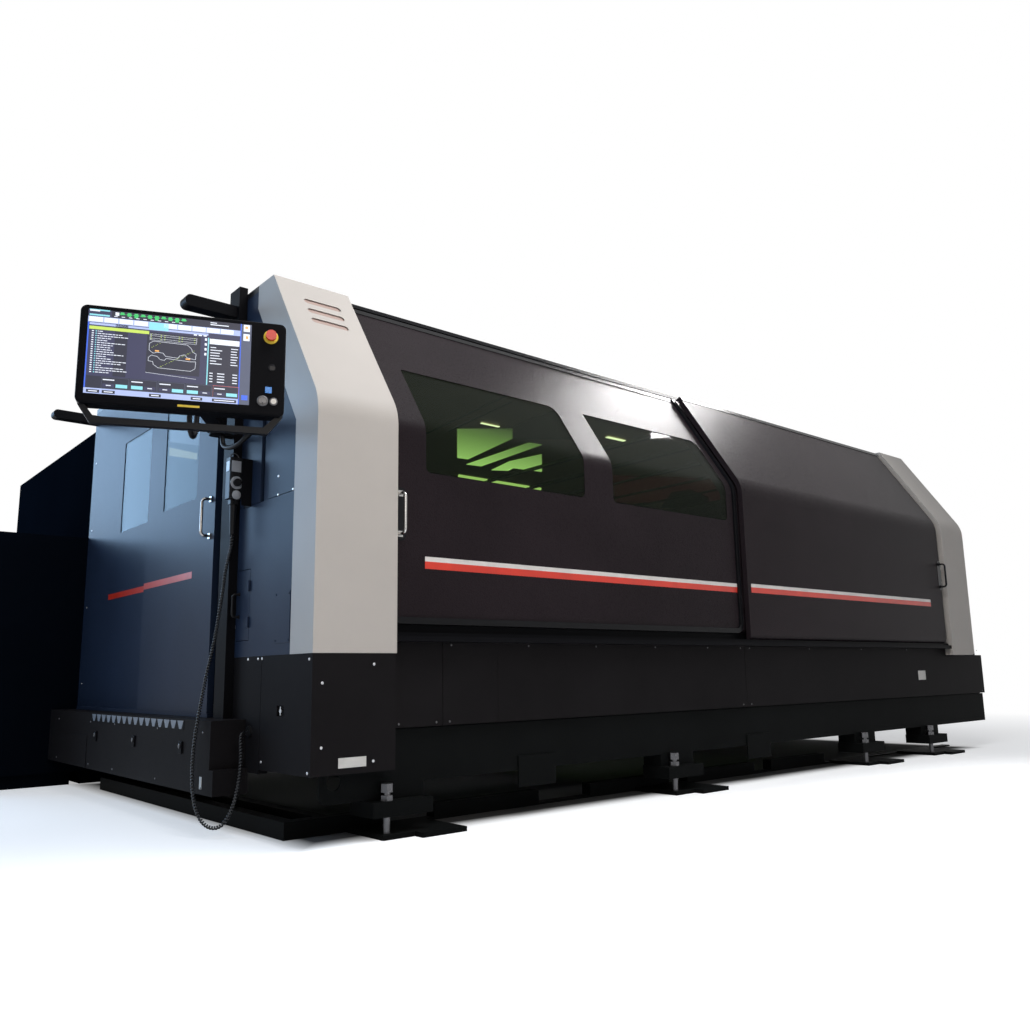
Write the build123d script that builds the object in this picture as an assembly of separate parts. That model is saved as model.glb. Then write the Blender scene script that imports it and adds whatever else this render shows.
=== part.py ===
from build123d import *
import math
import os

# Laser cutting machine: a sheet metal cabin on a welded base, with a moving gantry inside.
# X runs along the front, Y goes from the front to the back, Z is up.
# The model is laid out from the front left corner of the cabin and moved to its own
# bottom centre at the end.

# Cabin
BODY_LENGTH = 5864.0
BODY_DEPTH = 3100.0
BODY_HEIGHT = 2431.0
SHEET = 3.0
GAP = 0.3
PAN_DEPTH = 40.0

# Bent front
SLOPE = 33.3
BEND_HEIGHT = 1750.0
BEND_RADIUS = 220.0

# Corner pillars
PILLAR_WIDTH = 380.0
PILLAR_SIDE = 190.0
PILLAR_BOTTOM = 728.0
PILLAR_TOP_DEPTH = 152.7
PILLAR_CORNER = 40.0
SLOT_LENGTH = 185.0
SLOT_HEIGHT = 33.0
SLOT_COUNT = 3
SLOT_PITCH = 58.0
SLOT_DROP = 120.0
SLOT_CENTRE = 205.0

# Front doors
DOOR_THICKNESS = 32.0
DOOR_ROLL = 26.0
DOOR_CORNER = 45.0
RIGHT_DOOR_DEPTH = 15.0
LEFT_DOOR_DEPTH = 60.0
DOOR_SEAM = 2860.0
DOOR_OVERLAP = 40.0
DOOR_SIDE_GAP = 3.0
RIGHT_DOOR_SIDE_GAP = 39.0
LEFT_DOOR_LOW = 850.0
LEFT_DOOR_DROP = 31.0
RIGHT_DOOR_LOW = 815.0
RIGHT_DOOR_DROP = 16.0

# Door windows
WINDOW_LOW = 1520.0
WINDOW_HIGH = 2055.0
WINDOW_LENGTH = 990.0
WINDOW_CORNERS = (28.0, 30.0, 62.0, 6.0)
FRAME_CORNER = 28.0
LEFT_WINDOW_START = 566.0
RIGHT_WINDOW_START = 1768.0
PANE = 5.0
PANE_LAP = 20.0

# Bow handles
BOW_LENGTH = 190.0
BOW_REACH = 45.0
BOW_RADIUS = 7.0
BOW_FOOT = 26.0
BOW_BEND = 0.45
LEFT_HANDLE_INSET = 45.0
LEFT_HANDLE_LOW = 1225.0
RIGHT_HANDLE_INSET = 30.0
RIGHT_HANDLE_LOW = 1245.0

# Door tracks and the frame behind the doors
TRACK_LOW = 777.0
TRACK_PLATE = 23.0
TRACK_FRONT = 8.0
RUNNER_WIDTH = 16.0
RUNNER_INSET = 1.0
FRAME_DEPTH = 100.0
FRAME_THICKNESS = 40.0
FRAME_POST = 100.0
FRAME_SILL = 90.0
FRAME_HEAD = 70.0
TRACK_SLOPE_DEPTH = 55.0
TRACK_HEAD_CLEARANCE = 6.0
ROOF_SKIRT = 30.0

# Corner cabinet
CABINET_WIDTH = 376.0
CABINET_DEPTH = 440.0
CABINET_LOW = 268.0
LATCH_Y = 259.0
LATCH_Z = 506.0
LATCH_WIDTH = 62.0
LATCH_HEIGHT = 42.0
LATCH_DEPTH = 12.0
LATCH_TURN_RADIUS = 9.0
LATCH_WING_WIDTH = 6.0
LATCH_WING_MARGIN = 4.0

# Base
BASE_OVERHANG = 266.0
BASE_TOP = 420.0
BEAM_LOW = 205.0
BEAM_FACE = 80.0
BEAM_WIDTH = 200.0
BASE_START = CABINET_WIDTH + GAP
MIDDLE_CROSSES = (2080.0, 4060.0)
LAST_CROSS_INSET = 230.0
CROSS_WIDTH = 200.0
FOOT_STARTS = (290.0, 2073.0, 4050.0, 5000.0)
FOOT_LENGTH = 285.0
FOOT_LOW = 85.0
FOOT_THICKNESS = 60.0
FOOT_FRONT = 20.0
FOOT_REACH = 180.0
UPSTAND = 8.0
BRACKET_STARTS = (1087.0, 2845.0)
BRACKET_LENGTH = 230.0
BRACKET_LOW = 130.0
BRACKET_HIGH = 268.0
PLATE = 8.0
LUG_START = 80.0
LUG_LOW = 150.0
LUG_CORNER = 40.0
LUG_HOLE_RADIUS = 32.0
LUG_HOLE_X = 145.0
LUG_HOLE_Z = 232.0

# Levelling bolts and anchor plates
BOLT_RADIUS = 15.0
BOLT_CLEARANCE = 0.5
BOLT_OFFSET = 80.0
BOLT_INSET = 32.0
HEX_RADIUS = 26.0
NUT_HEIGHT = 22.0
BOLT_HEAD_LOW = 178.0
BOLT_HEAD_HEIGHT = 34.0
ANCHOR_THICKNESS = 20.0
ANCHOR_FRONT = -45.0
ANCHOR_OFFSET = 190.0
ANCHOR_LENGTH = 220.0
ANCHOR_BACK = 300.0

# Rails on the floor
RAIL_Y = 300.3
RAIL_WIDTH = 60.0
RAIL_STRIP = 10.0
RAIL_HEIGHT = 70.0
RAIL_SPANS = ((50.0, 520.0), (780.0, 1410.0), (1770.0, 2400.0), (2560.0, 3220.0), (3400.0, 4030.0))
SIDE_RAIL_X = (50.0, 210.0)
SIDE_RAIL_INSET = 400.0
MIDDLE_TIE = 1400.0

# Lower front panels
PANEL_FACE = 60.0
PANEL_LOW = 425.0
PANEL_SEAMS = (655.0, 2850.0)
PANEL_GAP = 3.0
ACCESS_SEAM = 960.0
ACCESS_TOP = 715.0
GROOVE = 2.0

# Left end of the cabin
END_SEAM = 1395.0
END_REAR_DEPTH = 120.0
END_DROP = 31.0
STRIP_Y = (430.0, 490.0)
STRIP_DEPTH = 8.0
SLOT_Y = (490.0, 510.0)
SLOT_DEPTH = 30.0
HATCH_Y = (196.0, 331.0)
HATCH_Z = (775.0, 983.0)
HATCH_PROUD = 2.0
SCREW_RADIUS = 4.5
SCREW_INSET = 10.0
SKIRT_LOW = 250.0
SERVICE_MARGIN = 12.0
SERVICE_WIDTH = 124.0
SERVICE_Z = (800.0, 1106.0)
SERVICE_THICKNESS = 18.0
SERVICE_CLEARANCE = 3.0
HINGE_Z = (876.0, 1034.0)
HINGE_LENGTH = 44.0
HINGE_RADIUS = 5.0
SMALL_BOW_LENGTH = 110.0
SMALL_BOW_REACH = 32.0
SMALL_BOW_RADIUS = 5.0
SMALL_BOW_INSET = 20.0

# Mast and top arms
POST_GAP = 2.0
MAST_WIDTH = 108.0
MAST_REACH = 40.0
MAST_RISE = 29.0
ARM_REACH = 285.0
ARM_DROP = 88.0
ARM_HEIGHT = 55.0
ARM_WIDTH = 70.0
ARM_TIP_RADIUS = 24.7

# End door
END_DOOR_RISE = 1.0
FRONT_POST_WIDTH = 73.0
REAR_POST_WIDTH = 130.0
END_HEAD = 80.0
END_SILL = 54.0
FIXED_LEAF_WIDTH = 1180.0
LEAF_THICKNESS = 30.0
LEAF_FRONT_GAP = 8.0
LEAF_SIDE_LAP = 60.0
LEAF_TOP_LAP = 10.0
END_RUNNER = 18.0
LEAF_GAP = 8.0
SLIDING_WINDOW_MARGINS = (237.0, 240.0)
FIXED_WINDOW_INSET = 110.0
FIXED_WINDOW_LENGTH = 540.0
END_WINDOW_Z = (1510.0, 2060.0)
SLIDING_HANDLE_INSET = 47.0
SLIDING_HANDLE_LOW = 1290.0

# Box at the foot of the end door
STEP_REACH = 150.0
STEP_START = 580.0
STEP_LOW = 165.0
STEP_TOP = 465.0
STEP_FLAP_LENGTH = 770.0
STEP_BLOCK = 40.0
STEP_BLOCK_TOP = 268.0

# Console, given at the middle of its front face
CONSOLE_X = -520.0
CONSOLE_Y = 53.0
CONSOLE_Z = 1791.0
CONSOLE_YAW = -22.0
CONSOLE_WIDTH = 720.0
CONSOLE_HEIGHT = 369.0
CONSOLE_THICKNESS = 70.0
CONSOLE_CORNER = 24.0
CONSOLE_EDGE = 8.0
SCREEN_LEFT = 25.0
SCREEN_RIGHT = 126.0
SCREEN_TOP = 15.0
SCREEN_BOTTOM = 35.0
SCREEN_DEPTH = 4.0
GRIP_DROP = 66.0
GRIP_BAR = 24.0
GRIP_DEPTH = 30.0
GRIP_SLANT = 50.0
TILT_OFFSET = 112.0
SWIVEL_OFFSET = 206.0
LUG_HALF = 45.0
EAR = 14.0
YOKE_CLEARANCE = 4.0
TILT_SHAFT = 12.0
SHAFT_CLEARANCE = 0.05
KNUCKLE_RADIUS = 30.0
SWIVEL_SHAFT = 20.0
RING_RADIUS = 42.0
BOSS_RADIUS = 33.6
RING_HEIGHT = 90.0
ARM_LEVEL = 1740.0
ARM_BAR = 60.0
PIVOT_X = -112.0
PIVOT_INSET = 24.0
BRACKET_PLATE = 15.0
STOP_PLACE = (303.0, 125.0)
BLUE_PLACE = (300.0, -85.0)
KEY_PLACE = (280.0, -128.0)
WHITE_PLACE = (320.0, -128.0)
BUTTON_BORE_DEPTH = 40.0
STOP_RADIUS = 20.0
STOP_STEM = 11.0
STOP_STANDOFF = 12.0
STOP_HEAD = 16.0
COLLAR_RADIUS = 27.0
COLLAR_HEIGHT = 5.0
BUTTON_RADIUS = 10.0
BUTTON_PROUD = 5.0
KEY_RADIUS = 13.0
KEY_PROUD = 7.0
KEY_WING = 8.0
KEY_WING_WIDTH = 4.0
KEY_WING_MARGIN = 3.0
BUTTON_CLEARANCE = 0.3

# Hoses of the console
ARC_SHARE = 0.45
HOSE_RADIUS = 11.0
GLAND_RADIUS = 16.0
GLAND_LENGTH = 18.0
ARM_HOSE_ROUTE = ((0.0, 0.0), (0.0, -60.0), (10.0, -106.0), (42.0, -138.0), (88.0, -138.0), (120.0, -106.0),
                  (130.0, -60.0), (130.0, 0.0))
PANEL_HOSE_ROUTE = ((0.0, 526.0, 1716.0), (-30.0, 526.0, 1716.0), (-58.0, 540.0, 1688.0),
                    (-70.0, 585.0, 1662.0), (-80.0, 640.0, 1654.0), (-86.0, 700.0, 1662.0),
                    (-88.0, 738.0, 1690.0), (-88.0, 738.0, 1724.7))

# Hand controller and its curly cord
HOLDER_MARGIN = 52.0
HOLDER_WIDTH = 68.0
HOLDER_Z = (1388.0, 1600.0)
HOLDER_PLATE = 4.0
HANDSET_X = (-92.0, -32.0)
HANDSET_INSET = 21.0
HANDSET_DEPTH = 58.0
HANDSET_LOW = 1396.0
HANDSET_CORNER = 10.0
NECK_WIDTH = 38.0
NECK_CORNER = 8.0
NECK_HEIGHT = 25.0
RELIEF_FLARE = 4.4
HANDSET_HIGH = 1606.0
RELIEF_LOW = 1262.0
RELIEF_RADIUS = 11.0
KNOB_RADIUS = 17.0
KNOB_STEM = 6.0
KNOB_STEM_LENGTH = 10.0
KNOB_BORE_DEPTH = 15.0
KNOB_DROP = 10.0
HOOK_LOW = 60.0
HOOK_HIGH = 20.0
KNOB_PROUD = 14.0
CORD_RADIUS = 8.5
GROMMET_Y = 535.0
GROMMET_Z = 418.0
GROMMET_RADIUS = 22.0
GROMMET_PROUD = 10.0
CORD_ROUTE = ((-62.0, 650.0, 1262.0), (-62.0, 650.0, 1218.0), (-58.0, 688.0, 1168.0), (-55.0, 722.0, 1118.0),
              (-60.0, 727.0, 1030.0), (-68.0, 742.0, 920.0), (-84.0, 738.0, 800.0), (-112.0, 734.0, 680.0),
              (-143.0, 706.0, 560.0), (-167.0, 674.0, 478.0), (-187.0, 662.0, 363.0), (-191.0, 656.0, 228.0),
              (-184.0, 630.0, 116.0), (-160.0, 578.0, 46.0), (-118.0, 515.0, 42.0), (-84.0, 482.0, 118.0),
              (-66.0, 474.0, 220.0),
              (-58.0, 480.0, 304.0), (-53.0, 498.0, 362.0), (-46.0, 519.0, 401.0), (-30.0, 535.0, 418.0),
              (-10.0, 535.0, 418.0))

# Inside
BED_START = 560.0
BED_REAR_INSET = 480.0
BED_WALL = 60.0
BED_LEFT = 450.0
BED_RIGHT_INSET = 444.0
BED_TOP = 960.0
LEDGE_Z = 740.0
LEDGE_REACH = 90.0
LEDGE_THICKNESS = 20.0
LINEAR_RAIL_INSET = 20.0
LINEAR_RAIL_WIDTH = 30.0
LINEAR_RAIL_HEIGHT = 25.0
GANTRY_X = 2050.0
GANTRY_WIDTH = 300.0
GANTRY_HEIGHT = 330.0
GANTRY_OVERHANG = 30.0
GANTRY_WALL = 12.0
SADDLE_HEIGHT = 60.0
CARRIAGE_Y = 1500.0
CARRIAGE_WIDTH = 260.0
CARRIAGE_THICKNESS = 90.0
CARRIAGE_HEIGHT = 300.0
CARRIAGE_RISE = 10.0
CARRIAGE_CORNER = 12.0
HEAD_WIDTH = 110.0
HEAD_DEPTH = 100.0
HEAD_LOW = 985.0
HEAD_HIGH = 1430.0
NOZZLE_LENGTH = 60.0
NOZZLE_TIP = 6.0
NOZZLE_ROOT = 32.0
HEAD_CORNER = 15.0
PALLET_X = (1000.0, 4250.0)
PALLET_HEIGHT = 80.0
PALLET_BAR = 50.0
PALLET_CLEARANCE = 10.0
SLAT_PITCH = 90.0
SLAT_THICKNESS = 3.0
SLAT_RISE = 25.0

# Cabinets behind and beside the cabin
REAR_CABINET_X = (20.0, 920.0)
REAR_CABINET_LENGTH = 1120.0
REAR_CABINET_COUNT = 2
REAR_CABINET_HEIGHT = 2300.0
SIDE_CABINET_START = -640.0
SIDE_CABINET_DEPTH = 800.0
SIDE_CABINET_HEIGHT = 1560.0
CABINET_PLINTH = 80.0
PLINTH_INSET = 30.0
END_BOX_Y = (110.0, 1500.0)
END_BOX_TOP = 800.0
WALL_BOXES = ((260.0, 620.0, 1180.0, 1840.0, 110.0), (700.0, 1100.0, 1020.0, 1700.0, 150.0))


def block(x, y, z):
    """Block between two limits on each axis."""
    sizes = [high - low for low, high in (x, y, z)]
    middles = [(low + high) / 2 for low, high in (x, y, z)]
    return Pos(*middles) * Box(*sizes)


def along_x(points, start, end):
    """Prism of an outline in Y and Z."""
    return extrude(Plane.YZ.offset(start) * make_face(Polyline(*points, close=True)), amount=end - start)


def along_y(face, start, end):
    """Prism of a face drawn in X and Z."""
    return extrude(Plane.XZ.offset(-start) * face, amount=start - end)


def post(radius, x, y, low, high):
    """Upright cylinder."""
    return Pos(x, y, (low + high) / 2) * Cylinder(radius, high - low)


def hexagon_bar(radius, x, y, low, high):
    """Upright hexagonal bar."""
    return Pos(x, y, low) * extrude(RegularPolygon(radius, 6), amount=high - low)


def bend_point(depth):
    """Corner of the bent front at a depth behind the pillar face."""
    return (depth, BEND_HEIGHT - depth * math.tan(math.radians(SLOPE / 2)))


def slope_point(depth, height):
    """Point of the sloped front at a depth and a height."""
    y, z = bend_point(depth)
    return (y + (height - z) * math.tan(math.radians(SLOPE)), height)


def square_in(point, distance):
    """Point moved square to the slope, towards the inside."""
    angle = math.radians(SLOPE)
    return (point[0] + distance * math.cos(angle), point[1] - distance * math.sin(angle))


def bent_solid(points, start, end, bends):
    """Prism of an outline in Y and Z, with its bends rounded."""
    outline = make_face(Polyline(*points, close=True))
    for (y, z), radius in bends:
        corner = outline.vertices().sort_by_distance((y, z, 0))[0]
        outline = fillet(corner, radius)
    return extrude(Plane.YZ.offset(start) * outline, amount=end - start)


def bent_slab(near, far, low, high, start, end):
    """Slab that follows the bent front between two depths; its upper edge is square to the slope."""
    top = slope_point(near, high)
    points = [(near, low), bend_point(near), top, square_in(top, far - near), bend_point(far), (far, low)]
    bends = [(bend_point(near), BEND_RADIUS - near), (bend_point(far), BEND_RADIUS - far)]
    return bent_solid(points, start, end, bends)


def front_hole(x, z, corners, near, far):
    """Opening through the front between two depths, with a radius for each corner from the low left one."""
    width = x[1] - x[0]
    height = z[1] - z[0]
    outline = Rectangle(width, height)
    for radius, (side, level) in zip(corners, ((-1, -1), (1, -1), (1, 1), (-1, 1))):
        place = (side * width / 2, level * height / 2, 0)
        outline = fillet(outline.vertices().sort_by_distance(place)[0], radius)
    plane = Plane(origin=((x[0] + x[1]) / 2, near, (z[0] + z[1]) / 2), x_dir=(1, 0, 0), z_dir=(0, -1, 0))
    return extrude(plane * outline, amount=near - far)


def pillar_solid(inset, start, end):
    """Outline of a pillar, set in by a wall on every side but the back."""
    low = PILLAR_BOTTOM + inset
    top = BODY_HEIGHT - inset
    back = PILLAR_SIDE
    rear = pillar_top_rear
    shift = PILLAR_SIDE if inset else 0
    apex = slope_point(inset, top)
    shoulder = bend_point(back)
    knee_height = shoulder[1] + (rear - shoulder[0]) / math.tan(math.radians(SLOPE))
    points = [(inset, low), bend_point(inset), apex, (rear + shift, top), (rear + shift, knee_height)]
    points += [(back + shift, shoulder[1]), (back + shift, low)]
    return bent_solid(points, start + inset, end - inset, [(bend_point(inset), BEND_RADIUS - inset)])


def pillar(start, rounded_edge):
    """Folded sheet pillar, open at the back, with three vents in its slope."""
    end = start + PILLAR_WIDTH
    shell = pillar_solid(0, start, end)
    if rounded_edge:
        corner = shell.edges().filter_by(Axis.Y).sort_by_distance((end, 0, PILLAR_BOTTOM))[0]
        shell = fillet(corner, PILLAR_CORNER)
    hollow = pillar_solid(SHEET, start, end)
    if rounded_edge:
        inner = hollow.edges().filter_by(Axis.Y).sort_by_distance((end, 0, PILLAR_BOTTOM))[0]
        hollow = fillet(inner, PILLAR_CORNER - SHEET)
    return shell - hollow


def pillar_vents(start):
    """Cutters of the vents, square to the slope."""
    cutters = []
    for row in range(SLOT_COUNT):
        height = BODY_HEIGHT - SLOT_DROP - row * SLOT_PITCH
        y, z = slope_point(0, height)
        normal = (0, math.cos(math.radians(SLOPE)), -math.sin(math.radians(SLOPE)))
        plane = Plane(origin=(start + SLOT_CENTRE, y, z), x_dir=(1, 0, 0), z_dir=normal)
        cutters.append(extrude(plane * SlotOverall(SLOT_LENGTH, SLOT_HEIGHT), amount=2 * SHEET, both=True))
    return cutters


def door_solid(depth, low, high, start, end, inset, corners):
    """Outer form of a front door, or of the hollow behind its skin."""
    extra = PAN_DEPTH if inset else 0
    near = depth + inset
    far = depth + DOOR_THICKNESS + extra
    solid = bent_slab(near, far, low + inset, high - inset, start + inset, end - inset)
    for x in corners:
        edge = solid.edges().filter_by(Axis.Y).sort_by_distance((x, near, low))[0]
        solid = fillet(edge, DOOR_CORNER - inset)
    front_low = solid.edges().filter_by(Axis.X).sort_by_distance(((start + end) / 2, near, low))[0]
    return fillet(front_low, DOOR_ROLL - inset)


def door(depth, low, high, start, end, corners):
    """Front door folded from sheet: a skin with a rolled lower edge and returns all round."""
    return door_solid(depth, low, high, start, end, 0, corners) - door_solid(
        depth, low, high, start, end, SHEET, corners)


def bow_handle(length, reach, radius, foot):
    """Bow handle on a flat face: it stands out along -Y and runs up along Z from the origin."""
    path = FilletPolyline((0, 0, radius), (0, -reach, radius), (0, -reach, length - radius),
                          (0, 0, length - radius), radius=BOW_BEND * reach)
    bar = sweep(Plane(origin=(0, 0, radius), z_dir=(0, -1, 0)) * Circle(radius), path=path)
    for z in (radius, length - radius):
        bar += Pos(0, -radius / 2, z) * Box(foot, radius, foot)
    return bar


def bow_on_end(length, reach, radius, foot, x, y, low):
    """Bow handle on a face that looks along -X."""
    return Pos(x, y, low) * Rot(0, 0, -90) * bow_handle(length, reach, radius, foot)


def pan(x, y, z, open_side):
    """Folded sheet panel with returns all round, open on one side."""
    hollow = {"x": list(x), "y": list(y), "z": list(z)}
    for axis in hollow:
        hollow[axis] = [hollow[axis][0] + SHEET, hollow[axis][1] - SHEET]
    axis, side = open_side[1], open_side[0]
    if side == "+":
        hollow[axis][1] += 2 * SHEET
    else:
        hollow[axis][0] -= 2 * SHEET
    return block(x, y, z) - block(hollow["x"], hollow["y"], hollow["z"])


def gathered(pieces):
    """One shape of several separate solids."""
    return Compound([solid for piece in pieces for solid in piece.solids()])


nodes = {}
body_end = BODY_LENGTH
right_pillar_start = BODY_LENGTH - PILLAR_WIDTH
track_top = TRACK_LOW + TRACK_PLATE
pillar_top_rear = slope_point(0, BODY_HEIGHT)[0] + PILLAR_TOP_DEPTH
roof_start = pillar_top_rear + GAP
wall_back = BODY_DEPTH - PAN_DEPTH
base_length = BODY_LENGTH + BASE_OVERHANG
end_rear = pillar_top_rear + END_REAR_DEPTH
end_top = BODY_HEIGHT - END_DROP
left_door_high = BODY_HEIGHT - LEFT_DOOR_DROP
right_door_high = BODY_HEIGHT - RIGHT_DOOR_DROP
service_y = (end_rear - SERVICE_MARGIN - SERVICE_WIDTH, end_rear - SERVICE_MARGIN)
holder_y = (end_rear - HOLDER_MARGIN - HOLDER_WIDTH, end_rear - HOLDER_MARGIN)
handset_y = (holder_y[0] + HANDSET_INSET, holder_y[0] + HANDSET_INSET + HANDSET_DEPTH)
mast_y = (end_rear + POST_GAP, end_rear + POST_GAP + MAST_WIDTH)
mast_top = BODY_HEIGHT + MAST_RISE
pivot_y = mast_y[0] + PIVOT_INSET
end_door_low = STEP_TOP + END_DOOR_RISE
bed_y = (BED_START, BODY_DEPTH - BED_REAR_INSET)
bed_x = (BED_LEFT, BODY_LENGTH - BED_RIGHT_INSET)

# Corner pillars
left_pillar = pillar(0, False)
for cutter in pillar_vents(0):
    left_pillar -= cutter
nodes["left_pillar"] = left_pillar
nodes["right_pillar"] = pillar(right_pillar_start, True)

# Front doors
left_door_start = PILLAR_WIDTH + DOOR_SIDE_GAP
left_door_end = DOOR_SEAM + DOOR_OVERLAP
right_door_end = right_pillar_start - RIGHT_DOOR_SIDE_GAP
left_door = door(LEFT_DOOR_DEPTH, LEFT_DOOR_LOW, left_door_high, left_door_start, left_door_end, ())
panes = []
for window_start in (LEFT_WINDOW_START, RIGHT_WINDOW_START):
    window_x = (window_start, window_start + WINDOW_LENGTH)
    left_door -= front_hole(window_x, (WINDOW_LOW, WINDOW_HIGH), WINDOW_CORNERS, 0, BODY_DEPTH / 2)
    pane_near = LEFT_DOOR_DEPTH + SHEET + GAP
    panes.append(bent_slab(pane_near, pane_near + PANE, WINDOW_LOW - PANE_LAP, WINDOW_HIGH + PANE_LAP,
                           window_x[0] - PANE_LAP, window_x[1] + PANE_LAP))
nodes["left_front_door"] = left_door
nodes["left_door_windows"] = gathered(panes)
bow = bow_handle(BOW_LENGTH, BOW_REACH, BOW_RADIUS, BOW_FOOT)
nodes["left_door_handle"] = Pos(left_door_start + LEFT_HANDLE_INSET, LEFT_DOOR_DEPTH, LEFT_HANDLE_LOW) * bow
nodes["right_front_door"] = door(RIGHT_DOOR_DEPTH, RIGHT_DOOR_LOW, right_door_high, DOOR_SEAM, right_door_end,
                                 (right_door_end,))
nodes["right_door_handle"] = Pos(right_door_end - RIGHT_HANDLE_INSET, RIGHT_DOOR_DEPTH, RIGHT_HANDLE_LOW) * bow

# Tracks: a plate with a runner under each door, and the head rail behind the roof edge
track_x = (PILLAR_WIDTH + GAP, right_pillar_start - GAP)
bottom_track = block(track_x, (TRACK_FRONT, FRAME_DEPTH + FRAME_THICKNESS), (TRACK_LOW, track_top))
for depth, low in ((LEFT_DOOR_DEPTH, LEFT_DOOR_LOW), (RIGHT_DOOR_DEPTH, RIGHT_DOOR_LOW)):
    middle = depth + DOOR_THICKNESS - RUNNER_WIDTH / 2 - RUNNER_INSET
    runner_y = (middle - RUNNER_WIDTH / 2, middle + RUNNER_WIDTH / 2)
    bottom_track += block(track_x, runner_y, (track_top, low - GAP))
head_front = slope_point(TRACK_SLOPE_DEPTH, left_door_high + TRACK_HEAD_CLEARANCE)
head_back = slope_point(FRAME_DEPTH, BODY_HEIGHT - ROOF_SKIRT - TRACK_HEAD_CLEARANCE)
head_points = [head_front, slope_point(TRACK_SLOPE_DEPTH, BODY_HEIGHT), (pillar_top_rear, BODY_HEIGHT),
               (pillar_top_rear, head_back[1]), head_back]
nodes["door_tracks"] = gathered([bottom_track, along_x(head_points, *track_x)])

# Frame behind the doors, with a middle post
frame_low = track_top
frame_high = BODY_HEIGHT - ROOF_SKIRT - 2 * TRACK_HEAD_CLEARANCE
front_frame = bent_slab(FRAME_DEPTH, FRAME_DEPTH + FRAME_THICKNESS, frame_low, frame_high, *track_x)
opening_z = (frame_low + FRAME_SILL, frame_high - FRAME_HEAD)
frame_openings = ((track_x[0] + FRAME_POST, DOOR_SEAM - FRAME_POST / 2),
                  (DOOR_SEAM + FRAME_POST / 2, track_x[1] - FRAME_POST))
for opening_x in frame_openings:
    front_frame -= front_hole(opening_x, opening_z, 4 * (FRAME_CORNER,), 0, BODY_DEPTH / 2)
nodes["front_frame"] = front_frame

# Base frame: two long beams with their feet, the cross beams between them and a plate behind the panels
beam_back = BEAM_FACE + BEAM_WIDTH
rear_beam_y = (BODY_DEPTH - beam_back, BODY_DEPTH - BEAM_FACE)
front_beam = block((BASE_START, base_length), (BEAM_FACE, beam_back), (BEAM_LOW, BASE_TOP))
rear_beam = block((BASE_START, base_length), rear_beam_y, (BEAM_LOW, BASE_TOP))
cross_starts = (BASE_START, *MIDDLE_CROSSES, base_length - LAST_CROSS_INSET)
cross_y = (beam_back + GAP, rear_beam_y[0] - GAP)
crosses = [block((x, x + CROSS_WIDTH), cross_y, (BEAM_LOW, BASE_TOP)) for x in cross_starts]
foot_top = FOOT_LOW + FOOT_THICKNESS
foot_places = []


def foot(x, y, bolt_y):
    """Foot block with its leg, and the place of its bolt."""
    leg_y = (max(y[0], BEAM_FACE), min(y[1], BODY_DEPTH - BEAM_FACE))
    solid = block((x, x + FOOT_LENGTH), y, (FOOT_LOW, foot_top))
    solid += block((x + PLATE, x + FOOT_LENGTH - PLATE), leg_y, (foot_top, BEAM_LOW))
    foot_places.append((x + BOLT_OFFSET, bolt_y))
    return solid - post(BOLT_RADIUS + BOLT_CLEARANCE, x + BOLT_OFFSET, bolt_y, FOOT_LOW - 1, foot_top + 1)


for x in FOOT_STARTS:
    front_beam += foot(x, (FOOT_FRONT, FOOT_FRONT + FOOT_REACH), FOOT_FRONT + BOLT_INSET)
    rear_beam += foot(x, (BODY_DEPTH - FOOT_FRONT - FOOT_REACH, BODY_DEPTH - FOOT_FRONT),
                      BODY_DEPTH - FOOT_FRONT - BOLT_INSET)
for x in BRACKET_STARTS:
    front_beam += block((x, x + BRACKET_LENGTH), (BEAM_FACE - PLATE, BEAM_FACE), (BRACKET_LOW, BRACKET_HIGH))
lug = block((LUG_START, BASE_START + PLATE), (BEAM_FACE, BEAM_FACE + PLATE), (LUG_LOW, CABINET_LOW - GAP))
lug_corner = lug.edges().filter_by(Axis.Y).sort_by_distance((LUG_START, BEAM_FACE, LUG_LOW))[0]
lug = fillet(lug_corner, LUG_CORNER)
lug -= Pos(LUG_HOLE_X, BEAM_FACE, LUG_HOLE_Z) * Rot(90, 0, 0) * Cylinder(LUG_HOLE_RADIUS, 4 * PLATE)
front_beam += lug
upstand_x = (PILLAR_WIDTH + GAP, right_pillar_start - GAP, base_length)
upstand_z = (BASE_TOP + GAP, PILLAR_BOTTOM - GAP, TRACK_LOW)
upstand_face = make_face(Polyline(
    (upstand_x[0], upstand_z[0]), (upstand_x[2], upstand_z[0]), (upstand_x[2], upstand_z[1]),
    (upstand_x[1], upstand_z[1]), (upstand_x[1], upstand_z[2]), (upstand_x[0], upstand_z[2]), close=True))
upstand = along_y(upstand_face, FRAME_DEPTH, FRAME_DEPTH + UPSTAND)
nodes["base_frame"] = gathered([front_beam, rear_beam, *crosses, upstand])

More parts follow.
